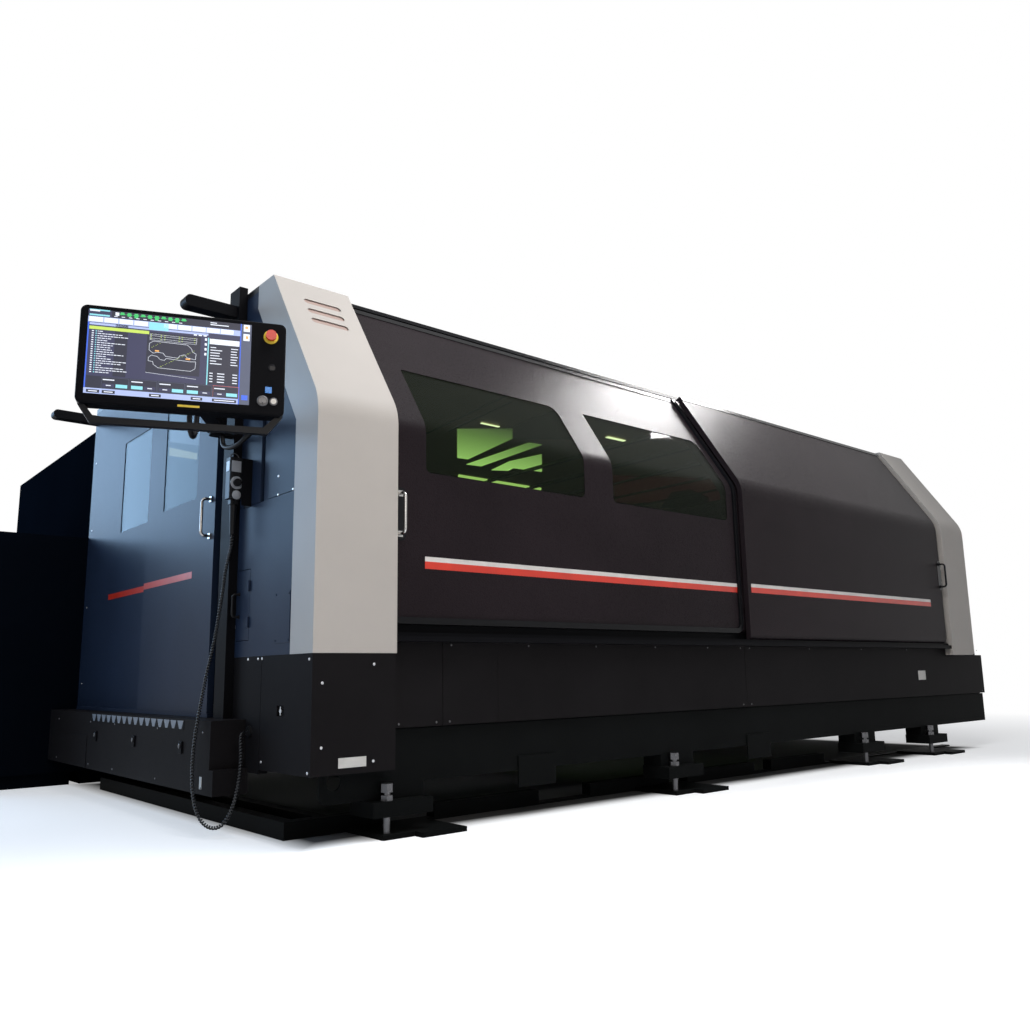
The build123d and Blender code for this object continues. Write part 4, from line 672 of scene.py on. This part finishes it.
def ceiling():
    """Underside of the roof behind the door windows: warm sheets and dark joists, with painted light on them:
    glowing pools of green work light, a faintly glowing red sheet and painted reflections of the overhead
    lights.
    """
    plate("ceiling", (0.080, 0.760, 2.356), (5.780, 3.030, 2.364), CEILING, "cabin")
    for index in range(5):
        x = 3.25 + 0.50 * index
        plate("joist_%d" % index, (x, 0.780, 2.330), (x + 0.040, 3.010, 2.355), JOIST, "cabin")
    seam_width = 0.018
    seams = (((1.93, 2.03), (1.81, 0.97)), ((2.02, 1.88), (1.92, 1.07)))
    for index, (start, end) in enumerate(seams):
        outline = (start, (start[0] + seam_width, start[1]), (end[0] + seam_width, end[1]), end)
        flat_shape("ceiling_seam_%d" % index, outline, 2.352, 0.003, JOIST)
    # Glowing pools of green light on the ceiling: painted light
    fade = fading_glow("painted_green_light", (0.34, 0.66, 0.15), 2.2, 1.45, 2.50)
    shapes = (
        ("lit_patch", fade, 2.351, 0.004,
         ((2.04, 1.79), (2.35, 1.55), (2.52, 1.75), (2.65, 2.46), (2.55, 2.47))),
        ("lit_bar", fade, 2.351, 0.004, ((2.75, 2.61), (2.89, 2.59), (2.82, 1.76), (2.70, 1.77))),
        ("lit_corner", fade, 2.351, 0.004,
         ((3.05, 2.65), (2.97, 2.32), (3.02, 1.98), (3.44, 2.44), (3.15, 2.48), (3.18, 2.58))),
        ("dark_block", JOIST, 2.349, 0.006,
         ((2.33, 1.52), (2.28, 1.29), (2.29, 0.98), (2.93, 1.46), (2.53, 1.76))),
        # Red sheet with a faint glow: painted light
        ("red_sheet", PAINTED_RED_GLOW, 2.345, 0.004,
         ((4.03, 2.16), (4.98, 1.66), (5.72, 2.18), (5.72, 2.52), (4.96, 2.99))),
        ("dark_dome", JOIST, 2.338, 0.004,
         ((5.55, 2.90), (5.02, 2.32), (5.06, 2.12), (5.52, 2.26), (5.72, 2.41), (5.72, 2.86))),
        ("light_tube", GREEN_GLOW, 2.345, 0.010,
         ((2.93, 2.955), (2.96, 3.005), (3.94, 3.005), (3.90, 2.955))),
        # Painted reflections of the overhead lights, as glowing bars on the ceiling
        ("lamp_reflection_near", LAMP_REFLECTION_GLOW, 2.346, 0.004, ((2.07, 1.545), (2.07, 1.565), (2.23, 1.565), (2.23, 1.545))),
        ("lamp_reflection_far", LAMP_REFLECTION_GLOW, 2.346, 0.004, ((3.04, 1.27), (3.04, 1.30), (3.23, 1.30), (3.23, 1.27))),
    )
    for name, material, height, thickness, outline in shapes:
        flat_shape(name, outline, height, thickness, material)


def top_bands():
    """Black band along the upper edge of each front door: painted shade of the dark gap under the roof's
    edge.
    """
    width = 0.026
    for side, face, start, end, high in (("left", LEFT_DOOR_FACE, 0.386, 2.808, 2.398),
                                         ("right", RIGHT_DOOR_FACE, 2.866, 5.443, 2.413)):
        depths = (face - 0.003, face - 0.0002)
        # Painted shade: a black sheet where the gap under the roof's edge is dark
        slope_slab(side + "_top_band", start, end, high - width, high, depths, SEAL_RUBBER_AND_GAP_SHADE, side + "_door")


# Small parts of the left end


def end_fasteners():
    """Screws of the end panels, the end door and the cabinet."""
    out = (-1, 0, 0)
    end_screws = ((0.337, 1.478), (0.336, 1.398), (0.199, 1.399), (0.640, 1.478), (0.640, 1.398))
    seam_screws = ((0.575, 0.716), (0.476, 0.716), (0.438, 0.716), (0.025, 0.705), (0.021, 0.282),
                   (0.420, 0.300))
    frame_screws = [(y, z) for y in (0.868, 3.035) for z in (0.62, 1.10, 1.60, 2.05)]
    screws("end_screws", [(0, y, z) for y, z in end_screws], out, 0.006, STEEL, "cabin")
    screws("seam_screws", [(0, y, z) for y, z in seam_screws], out, 0.006, STEEL, "cabin")
    screws("rail_screws", [(LEAF_FACE, 0.935 + 0.30 * k, 2.302) for k in range(4)], out, 0.005, STEEL,
           "end_door")
    screws("frame_screws", [(0, y, z) for y, z in frame_screws], out, 0.006, STEEL, "cabin")


def end_door_trim():
    """Dark blind behind the sliding leaf's window, and a glowing bar there that is painted light."""
    blind = ((1.172, 1.782), (1.172, 1.845), (1.612, 1.960), (1.612, 1.892))
    bar = ((1.600, 1.815), (1.205, 1.715), (1.205, 1.748), (1.600, 1.860))
    for name, material, outline, depths in (("sliding_band", GLOSS_BLACK, blind, (0.008, 0.010)),
                                            ("painted_light_bar", PAINTED_LIGHT_BAR, bar, (0.012, 0.015))):
        rings = [[at(LEAF_FACE + depth, y, z) for y, z in outline] for depth in depths]
        slab(name, rings, material, "end_door")


def step_box_trim():
    """Serrated strip, latches, flap and screws on the box along the foot of the end door."""
    face = -0.150
    close = face - 0.0002
    start, stop, low, high = 0.875, 2.235, 0.422, 0.458
    count = 16
    step = (stop - start) / count
    tooth = ((0.30, low), (0.62, low), (0.90, high), (0.04, high))
    teeth = [[at(face - 0.0022, start + step * (index + share), z) for share, z in tooth]
             for index in range(count)]
    join_quads("serrated_strip", teeth, TOOTH, "cabin")
    plate("strip_base", (face - 0.0018, start, low - 0.004), (close, stop, high), BLACK, "cabin")
    latch_face, latch_half = face - 0.008, 0.020
    knob = ((0, 0.010), (0.004, 0.010), (0.005, 0.008))
    for index, y in enumerate((0.897, 1.518, 2.138)):
        plate("box_latch_%d" % index, (latch_face, y - latch_half, 0.318), (close, y + latch_half, 0.370),
              BLACK, "cabin", 0.002)
        centre = at(latch_face, y, 0.350)
        turned("box_latch_knob_%d" % index, centre, (-1, 0, 0), knob, DARK_STEEL, "cabin", 20)
    plate("box_flap", (face - 0.003, 2.300, 0.170), (close, 2.820, 0.340), PANEL, "cabin", 0.001)
    places = [(face, y, z) for y in (0.66, 1.20, 1.83, 2.25, 2.90) for z in (0.190, 0.415)]
    screws("box_screws", places, (-1, 0, 0), 0.005, DARK_STEEL, "cabin")
    plate("box_sticker", (face - 0.0008, 0.652, 0.186), (face - 0.0001, 0.676, 0.236), LABEL, "cabin")


# Small parts of the front


def front_fasteners():
    """Screws along the lower panels and the cabinet, and the blank stickers."""
    out = (0, -1, 0)
    upper = (0.700, 1.15, 1.60, 2.05, 2.50, 2.81, 2.90, 3.55, 4.20, 4.85, 5.50, 6.05)
    lower = (0.43, 0.62, 0.69, 2.81, 2.89, 6.08)
    places = [(x, PANEL_FACE, 0.765) for x in upper] + [(x, PANEL_FACE, 0.440) for x in lower]
    screws("panel_screws", places, out, 0.0048, DARK_STEEL, "cabin", 0.0025)
    cabinet = ((0.272, 0, 0.684), (0.043, 0, 0.614), (0.044, 0, 0.373), (0.273, 0, 0.309))
    screws("cabinet_screws", cabinet, out, 0.006, STEEL, "cabin")
    for name, face, start, end, low, high in (("cabinet", 0, 0.118, 0.241, 0.292, 0.330),
                                              ("panel", PANEL_FACE, 5.000, 5.115, 0.545, 0.612)):
        plate(name + "_sticker", (start, face - 0.0008, low), (end, face - 0.0001, high), LABEL, "cabin")


def track_edge_highlight():
    """Painted highlight: a pale strip on the front edge of the lower track, where that edge catches the
    light.
    """
    plate("track_edge_highlight", (0.392, 0.0440, 0.8030), (2.800, 0.0452, 0.8060), PAINTED_EDGE_HIGHLIGHT, "cabin")


def handset_parts():
    """Key block, dials and hook of the hand controller."""
    plate("handset_keys", (-0.088, 0.6195, 1.540), (-0.044, HANDSET_FACE, 1.590), HAND_GREY, "cabin", 0.0006)
    dial = ((0, 0.0290), (0.0008, 0.0290), (0.0014, 0.0270), (0.0014, 0.0235))
    wheel = ((0, 0.0200), (0.0030, 0.0200), (0.0042, 0.0185), (0.0042, 0.0040))
    for name, height, profile, count in (("dial", 1.491, dial, 36), ("wheel", 1.436, wheel, 32)):
        centre = at(HANDSET_X, HANDSET_FACE, height)
        turned("handset_" + name, centre, (0, -1, 0), profile, HAND_GREY, "cabin", count)
    plate("handset_side_keys", (-0.0935, 0.633, 1.545), (-0.0922, 0.667, 1.590), HAND_GREY, "cabin", 0.0005)
    half_width, rise, foot, wire = 0.022, 0.026, 1.604, 0.0024
    last, corners = 12, 8
    turns = [math.pi * step / last for step in range(last + 1)]
    arch = [at(HANDSET_X - half_width * math.cos(turn), 0.655, foot + rise * math.sin(turn))
            for turn in turns]
    side = Vector((0, 1, 0))
    rows = []
    for index, place in enumerate(arch):
        along = arch[min(index + 1, last)] - arch[max(index - 1, 0)]
        other = along.normalized().cross(side)
        rows.append([place + wire * (math.cos(turn) * side + math.sin(turn) * other)
                     for turn in (2 * math.pi * corner / corners for corner in range(corners))])
    swept_band("handset_hook", rows, DARK_STEEL, "cabin")


def handle_backs():
    """Dark plates with rounded corners behind the bow handles of the front doors."""
    for side, face, low_x, high_x, low_z, high_z in (("left", LEFT_DOOR_FACE, 0.398, 0.462, 1.205, 1.435),
                                                     ("right", RIGHT_DOOR_FACE, 5.380, 5.436, 1.225, 1.455)):
        middle_x, middle_z = (low_x + high_x) / 2, (low_z + high_z) / 2
        half_x, half_z = (high_x - low_x) / 2, (high_z - low_z) / 2
        outline = []
        for step in range(32):
            turn = 2 * math.pi * step / 32
            x = math.copysign(abs(math.cos(turn)) ** 0.6, math.cos(turn)) * half_x
            z = math.copysign(abs(math.sin(turn)) ** 0.35, math.sin(turn)) * half_z
            outline.append((middle_x + x, middle_z + z))
        rows = [[at(x, face - proud, z) for x, z in outline] for proud in (0.0002, 0.0022)]
        swept_band(side + "_handle_back", rows, GLOSS_BLACK, side + "_door")


# Console


def on_console(x, z, proud=0.0):
    """Place on the console's front, given across, up and out of its face."""
    place = Vector(CONSOLE_CENTRE) + Matrix.Rotation(CONSOLE_YAW, 3, "Z") @ Vector((x, -proud, z))
    return at(*place)


def console_normal():
    """Direction that the console looks along."""
    return Matrix.Rotation(CONSOLE_YAW, 3, "Z") @ Vector((0, -1, 0))


def on_screen(u, v, behind=0):
    """Place by shares of the screen's width and height from its top left, some steps behind its front."""
    return on_console(SCREEN_LEFT + u * SCREEN_WIDTH, SCREEN_TOP - v * SCREEN_HEIGHT, -behind * SCREEN_STEP)


def screen_layer(name, colour, behind, shares):
    """Rectangles of one colour on the screen, each given by its left, top, right and bottom."""
    quads = []
    for left, top, right, bottom in shares:
        corners = ((left, bottom), (right, bottom), (right, top), (left, top))
        quads.append([on_screen(u, v, behind) for u, v in corners])
    join_quads("screen_" + name, quads, SCREEN[colour], "console")


def screen_lines(points, width=0.0022):
    """Thin strips along a line on the screen."""
    strips = []
    tall = SCREEN_WIDTH / SCREEN_HEIGHT
    for (u1, v1), (u2, v2) in zip(points, points[1:]):
        run = math.hypot(u2 - u1, (v2 - v1) / tall)
        across = (-(v2 - v1) / tall / run * width / 2, (u2 - u1) / run * width / 2 * tall)
        strips.append([(u1 - across[0], v1 - across[1]), (u2 - across[0], v2 - across[1]),
                       (u2 + across[0], v2 + across[1]), (u1 + across[0], v1 + across[1])])
    return strips


def screen_drawing():
    """Outlines of two nested sheet parts with small marks, in the middle of the screen."""
    upper = [(0.370, 0.43), (0.370, 0.35), (0.395, 0.32), (0.60, 0.33), (0.625, 0.37), (0.632, 0.41),
             (0.655, 0.43), (0.652, 0.50), (0.600, 0.485), (0.585, 0.45), (0.555, 0.47), (0.545, 0.50),
             (0.47, 0.49), (0.455, 0.455), (0.42, 0.45), (0.395, 0.465), (0.370, 0.43)]
    lower = [(0.368, 0.52), (0.385, 0.49), (0.42, 0.50), (0.44, 0.535), (0.465, 0.54), (0.475, 0.515),
             (0.62, 0.53), (0.655, 0.525), (0.652, 0.61), (0.625, 0.645), (0.43, 0.635), (0.40, 0.60),
             (0.395, 0.565), (0.368, 0.56), (0.368, 0.52)]
    strips = screen_lines(upper) + screen_lines(lower)
    for v in (0.235, 0.255, 0.285, 0.305):
        strips += screen_lines([(0.372, v), (0.655, v + 0.01)], 0.0015)
    for u in (0.372, 0.655):
        strips += screen_lines([(u, 0.235), (u, 0.31)], 0.0015)
    strips += screen_lines([(0.355, 0.70), (0.66, 0.735)], 0.0018)
    quads = [[on_screen(u, v, 1) for u, v in strip] for strip in strips]
    join_quads("screen_drawing", quads, SCREEN["white"], "console")
    marks = []
    for index in range(26):
        u = 0.385 + 0.26 * ((index * 0.618) % 1)
        v = 0.335 + 0.29 * ((index * 0.381 + 0.2) % 1)
        marks.append((u, v, u + 0.0035, v + 0.006))
    for u in (0.376, 0.436, 0.458, 0.545, 0.563, 0.640):
        for v in (0.238, 0.262, 0.289):
            marks.append((u, v, u + 0.005, v + 0.009))
    screen_layer("marks", "lime", 0, marks)
    tags = ((0.405, 0.425, 0.430, 0.443), (0.592, 0.492, 0.620, 0.510))
    screen_layer("tags", "orange", 0, tags)


def screen_texts():
    """Rows of short bars that stand for text."""
    rows, starts = [], []
    for row in range(19):
        v = 0.258 + row * 0.0268
        width = 0.035 + 0.15 * abs(math.sin(row * 2.3)) * (1 if row % 3 else 0.5)
        left = 0.052
        rows.append((0.030, v, 0.042, v + 0.011))
        starts.append((left, v, left + 0.007, v + 0.012))
        left += 0.012
        piece = 0
        while left < 0.052 + width:
            run = 0.006 + 0.016 * abs(math.sin(row * 1.7 + piece * 2.1))
            rows.append((left, v + 0.001, left + run, v + 0.0095))
            left += run + 0.004
            piece += 1
    for row in range(7):
        v = 0.325 + row * 0.033
        rows.append((0.742, v, 0.742 + 0.035 + 0.04 * abs(math.sin(row * 1.9)), v + 0.010))
        rows.append((0.870, v, 0.870 + 0.03 + 0.015 * abs(math.cos(row)), v + 0.010))
    for row in range(4):
        v = 0.640 + row * 0.034
        for left, run in ((0.742, 0.02), (0.79, 0.045), (0.885, 0.03)):
            rows.append((left, v, left + run, v + 0.011))
    for index in range(10):
        left = 0.150 + 0.043 * index
        rows.append((left + 0.004, 0.066, left + 0.024, 0.074))
    rows += [(0.735, 0.022, 0.775, 0.032), (0.735, 0.045, 0.850, 0.056), (0.012, 0.012, 0.07, 0.030),
             (0.160, 0.02, 0.182, 0.058)]
    rows += [(0.635 + 0.03 * k, 0.19, 0.655 + 0.03 * k, 0.205) for k in range(3)]
    screen_layer("text", "white", 0, rows)
    screen_layer("starts", "cyan", 0, starts)


def screen_cards():
    """Row of dark cards along the foot of the screen, each with two keys, and the bar below them."""
    dark, light, keys, lit, words = [], [], [], [], []
    top, foot, width = 0.800, 0.925, 0.160
    rim_top, rim_foot, rim = 0.797, 0.9225, 0.0018
    for index in range(5):
        left = 0.103 + index * 0.166
        right = left + width
        dark.append((left, top, right, foot))
        light += [(left, rim_top, right, 0.8005), (left, rim_top, left + rim, foot),
                  (left + 0.158, rim_top, right, foot), (left, rim_foot, right, 0.926)]
        first, second = (left + 0.008, left + 0.076), (left + 0.084, left + 0.152)
        shown, hidden = (second, first) if index % 2 == 0 else (first, second)
        lit.append((shown[0], 0.872, shown[1], 0.912))
        keys.append((hidden[0], 0.872, hidden[1], 0.912))
        words.append((left + 0.008, 0.820, left + 0.075, 0.832))
        words.append((hidden[0] + 0.02, 0.886, hidden[1] - 0.02, 0.896))
    screen_layer("cards", "dark", 2, dark)
    screen_layer("card_rims", "slate", 1, light)
    screen_layer("card_keys", "navy", 1, keys)
    screen_layer("card_lit", "cyan", 1, lit)
    spans = ((0.020, 0.095), (0.110, 0.185), (0.385, 0.455), (0.635, 0.705), (0.765, 0.915))
    screen_layer("bar_keys", "dark", 2, [(left, 0.950, right, 0.985) for left, right in spans])
    words += [(left + 0.012, 0.962, right - 0.012, 0.973) for left, right in spans]
    screen_layer("card_words", "white", 0, words)


def console_screen():
    """Machine's control page: bars, lists, a drawing of sheet parts and rows of keys."""
    screen_layer("back", "navy", 4, [(0.004, 0.004, 0.932, 0.996)])
    screen_layer("side", "slate", 4, [(0.932, 0.004, 0.996, 0.996)])
    screen_layer("fields", "dark", 3, [
        (0.165, 0.165, 0.240, 0.780), (0.355, 0.215, 0.68, 0.700), (0.733, 0.215, 0.925, 0.780),
        (0.140, 0.004, 0.925, 0.085), (0.012, 0.790, 0.925, 0.930)])
    screen_layer("bars", "pale", 3, [
        (0.004, 0.090, 0.928, 0.158), (0.004, 0.932, 0.928, 0.996), (0.014, 0.165, 0.725, 0.190)])
    screen_layer("tabs", "white", 2, [
        *((0.010 + 0.088 * k, 0.095, 0.010 + 0.088 * k + 0.080, 0.150) for k in range(10) if k != 4),
        (0.735, 0.225, 0.922, 0.290)])
    screen_layer("lit_keys", "cyan", 2, [
        (0.010, 0.004, 0.128, 0.020), (0.010, 0.062, 0.128, 0.080), (0.362, 0.095, 0.480, 0.185),
        (0.724, 0.215, 0.731, 0.790)])
    screen_layer("row", "lime", 2, [(0.014, 0.205, 0.365, 0.243)])
    edges = ((0.004, 0.160, 0.012, 0.930), (0.925, 0.004, 0.932, 0.996))
    screen_layer("edge", "blue", 2, edges)
    icons = []
    for index in range(10):
        left = 0.190 + 0.041 * index
        tall = 0.030 + 0.012 * ((index * 7) % 3)
        icons += [(left, 0.014, left + 0.022, 0.014 + tall), (left - 0.006, 0.030, left + 0.028, 0.040)]
    screen_layer("icons", "green", 1, icons)
    side_icons = [(0.945, 0.010, 0.985, 0.095), (0.945, 0.125, 0.985, 0.210)]
    side_icons += [(0.705, 0.225 + 0.06 * k, 0.718, 0.255 + 0.06 * k) for k in range(4)]
    screen_layer("side_icons", "white", 2, side_icons)
    side_marks = ((0.955, 0.030, 0.972, 0.060), (0.960, 0.150, 0.976, 0.185))
    screen_layer("side_marks", "orange", 1, side_marks)
    screen_layer("side_key", "blue", 2, [(0.945, 0.880, 0.985, 0.940)])
    screen_layer("frame", "red", 1, [
        (0.767, 0.790, 0.927, 0.7945), (0.767, 0.790, 0.7695, 0.928), (0.9245, 0.790, 0.927, 0.928)])
    screen_texts()
    screen_drawing()
    screen_cards()


def console_controls():
    """Rings and caps round the console's buttons, and a yellow strip under the screen."""
    stop = ((0, 0.0272), (0.0012, 0.0272), (0.0022, 0.0255), (0.0022, 0.0120))
    key = ((0, 0.0205), (0.0030, 0.0205), (0.0042, 0.0190), (0.0042, 0.0150), (0.0012, 0.0138))
    white = ((0, 0.0150), (0.0020, 0.0150), (0.0028, 0.0138), (0.0028, 0.0112))
    sensor = ((0, 0.0140), (0.0015, 0.0140), (0.0022, 0.0120), (0.0022, 0.0040))
    for name, place, proud, profile, material, count in (
            ("stop_ring", STOP_PLACE, 0.0050, stop, YELLOW, 40),
            ("key_ring", KEY_PLACE, 0.0002, key, DARK_STEEL, 36),
            ("white_ring", WHITE_PLACE, 0.0002, white, DARK_STEEL, 36),
            ("dark_sensor", SENSOR_PLACE, 0.0002, sensor, GLOSS_BLACK, 32)):
        turned(name, on_console(*place, proud), console_normal(), profile, material, "console", count)
    half = 0.0120
    x, z = BLUE_PLACE
    cap = console_block("blue_cap", x - half, x + half, z - half, z + half, (0.0032, 0.0062), BLUE,
                        "start_button")
    bevel = cap.modifiers.new("edge", "BEVEL")
    bevel.width = 0.0010
    console_block("yellow_strip", -0.018, 0.058, -0.174, -0.166, (0.0001, 0.0007), YELLOW, "console")


def console_block(name, left, right, low, high, prouds, material, body):
    """Rectangular block on the console's front, between two distances out of its face."""
    corners = ((left, low), (right, low), (right, high), (left, high))
    rows = [[on_console(x, z, proud) for x, z in corners] for proud in prouds]
    return swept_band(name, rows, material, body)


# Light, camera and floor


def camera():
    """Camera at the photograph's place."""
    data = bpy.data.cameras.new("camera")
    data.sensor_width = SENSOR
    data.lens = FOCAL_LENGTH
    data.clip_start = 0.05
    data.clip_end = 200
    made = new_object("camera", data)
    heading, rise = math.radians(CAMERA_HEADING), math.radians(CAMERA_RISE)
    forward = Vector((math.sin(heading) * math.cos(rise), math.cos(heading) * math.cos(rise), math.sin(rise)))
    turn = forward.to_track_quat("-Z", "Y").to_matrix().to_4x4()
    roll = Matrix.Rotation(-math.radians(CAMERA_ROLL), 4, "Z")
    made.matrix_world = Matrix.Translation(at(*CAMERA_PLACE)) @ turn @ roll
    bpy.context.scene.camera = made


def area_light(name, place, target, size, power, colour, spread=180):
    """Soft rectangular lamp, with a grid before it where its spread is narrow."""
    data = bpy.data.lights.new(name, "AREA")
    data.shape = "RECTANGLE"
    data.size, data.size_y = size
    data.energy = power
    data.color = colour
    data.spread = math.radians(spread)
    lamp = new_object(name, data)
    lamp.location = at(*place)
    lamp.rotation_euler = (at(*target) - at(*place)).to_track_quat("-Z", "Y").to_euler()


def studio():
    """White surroundings and soft lamps."""
    scene = bpy.context.scene
    scene.view_settings.view_transform = "Standard"
    world = bpy.data.worlds.new("surroundings")
    scene.world = world
    world.use_nodes = True
    tree = world.node_tree
    tree.nodes.clear()
    seen = new_node(tree, "ShaderNodeBackground", {"Color": FULL_WHITE}).outputs["Background"]
    sky = {"Color": SKY_COLOUR, "Strength": SKY_STRENGTH}
    lit = new_node(tree, "ShaderNodeBackground", sky).outputs["Background"]
    mix = new_node(tree, "ShaderNodeMixShader", {"Fac": seen_directly(tree), 1: lit, 2: seen})
    new_node(tree, "ShaderNodeOutputWorld", {"Surface": mix.outputs["Shader"]})

    area_light("overhead", (1.0, -1.5, 5.0), (0.6, 0.4, 1.6), (3.0, 2.0), 170, (0.95, 0.97, 1.0))
    area_light("front_fill", (-1.0, -3.6, 2.8), (0.6, 0.0, 1.2), (2.2, 1.6), 34, (1.0, 0.91, 0.82))
    area_light("side_fill", (-4.5, 1.0, 5.2), (0.0, 0.8, 1.4), (2.5, 2.5), 84, (0.40, 0.66, 1.0))
    area_light("slope_sheen", (5.5, 1.45, 5.0), (3.3, 0.5, 2.1), (2.6, 0.6), 75, (1.0, 0.98, 0.98), 66)
    area_light("end_sheen", (-4.0, 10.0, 4.0), (0.0, 1.8, 1.6), (6.0, 3.0), 430, (0.36, 0.64, 1.0))


def seen_directly(tree):
    """One for rays from the camera, from gloss and through glass, which show the white surroundings."""
    rays = new_node(tree, "ShaderNodeLightPath").outputs
    either = calculated(tree, "MAXIMUM", rays["Is Camera Ray"], rays["Is Glossy Ray"])
    return calculated(tree, "MAXIMUM", either, rays["Is Transmission Ray"])


def clear_of_machine(tree, place):
    """Nothing under the machine, rising to the floor's own lift a little way outside its foot."""
    centred = vector_of(tree, "SUBTRACT", {0: place, 1: FOOTPRINT_CENTRE})
    apart = vector_of(tree, "ABSOLUTE", {0: centred})
    outside = vector_of(tree, "SUBTRACT", {0: apart, 1: FOOTPRINT_HALF})
    parts = new_node(tree, "ShaderNodeSeparateXYZ", {0: outside}).outputs
    furthest = calculated(tree, "MAXIMUM", parts["X"], parts["Y"])
    return map_range(tree, furthest, 0.0, FOOTPRINT_FADE, 0.0, FLOOR_LIFT)


def floor():
    """Pale floor with painted shade under the machine, where its colour is darkened, and that fades into the
    background far out.
    """
    material, tree, shader = new_material("floor")
    tint = ramp(tree, noise(tree, 0.6, 3.0), (0.80,) * 3, (0.84,) * 3, (0.2, 0.8))
    place = object_place(tree)
    direct = seen_directly(tree)
    clear = clear_of_machine(tree, place)
    # Painted shade: the floor's colour darkened under the machine
    painted_shade = map_range(tree, clear, 0.0, FLOOR_LIFT, FLOOR_PAINTED_SHADE, 1.0)
    feed(tree, shader, "Base Color", vector_of(tree, "SCALE", {0: tint, "Scale": painted_shade}))
    feed(tree, shader, "Roughness", 0.9)
    feed(tree, shader, "Specular IOR Level", 0.1)
    raised = {"Color": FULL_WHITE, "Strength": calculated(tree, "MULTIPLY", direct, clear)}
    lift = new_node(tree, "ShaderNodeEmission", raised).outputs["Emission"]
    near = new_node(tree, "ShaderNodeAddShader", {0: shader.outputs["BSDF"], 1: lift}).outputs["Shader"]
    distance = vector_of(tree, "LENGTH", {0: place}, "Value")
    far = calculated(tree, "MULTIPLY", map_range(tree, distance, FLOOR_FADE_START, FLOOR_FADE_END), direct)
    white = new_node(tree, "ShaderNodeEmission", {"Color": FULL_WHITE}).outputs["Emission"]
    mix = new_node(tree, "ShaderNodeMixShader", {"Fac": far, 1: near, 2: white})
    out = next(node for node in tree.nodes if node.type == "OUTPUT_MATERIAL")
    feed(tree, out, "Surface", mix.outputs["Shader"])
    mesh = bpy.data.meshes.new("floor")
    corners = [(x * FLOOR_HALF, y * FLOOR_HALF, 0) for x, y in ((-1, -1), (1, -1), (1, 1), (-1, 1))]
    mesh.from_pydata(corners, [], [(0, 1, 2, 3)])
    piece = new_object("floor", mesh)
    mesh.materials.append(material)


paint_nodes()
camera()
console_hoses()
curly_cord()
door_stripes()
end_door_stripes()
door_seal()
vent_backs()
ceiling()
top_bands()
end_fasteners()
end_door_trim()
step_box_trim()
front_fasteners()
track_edge_highlight()
handset_parts()
handle_backs()
console_screen()
console_controls()
studio()
floor()
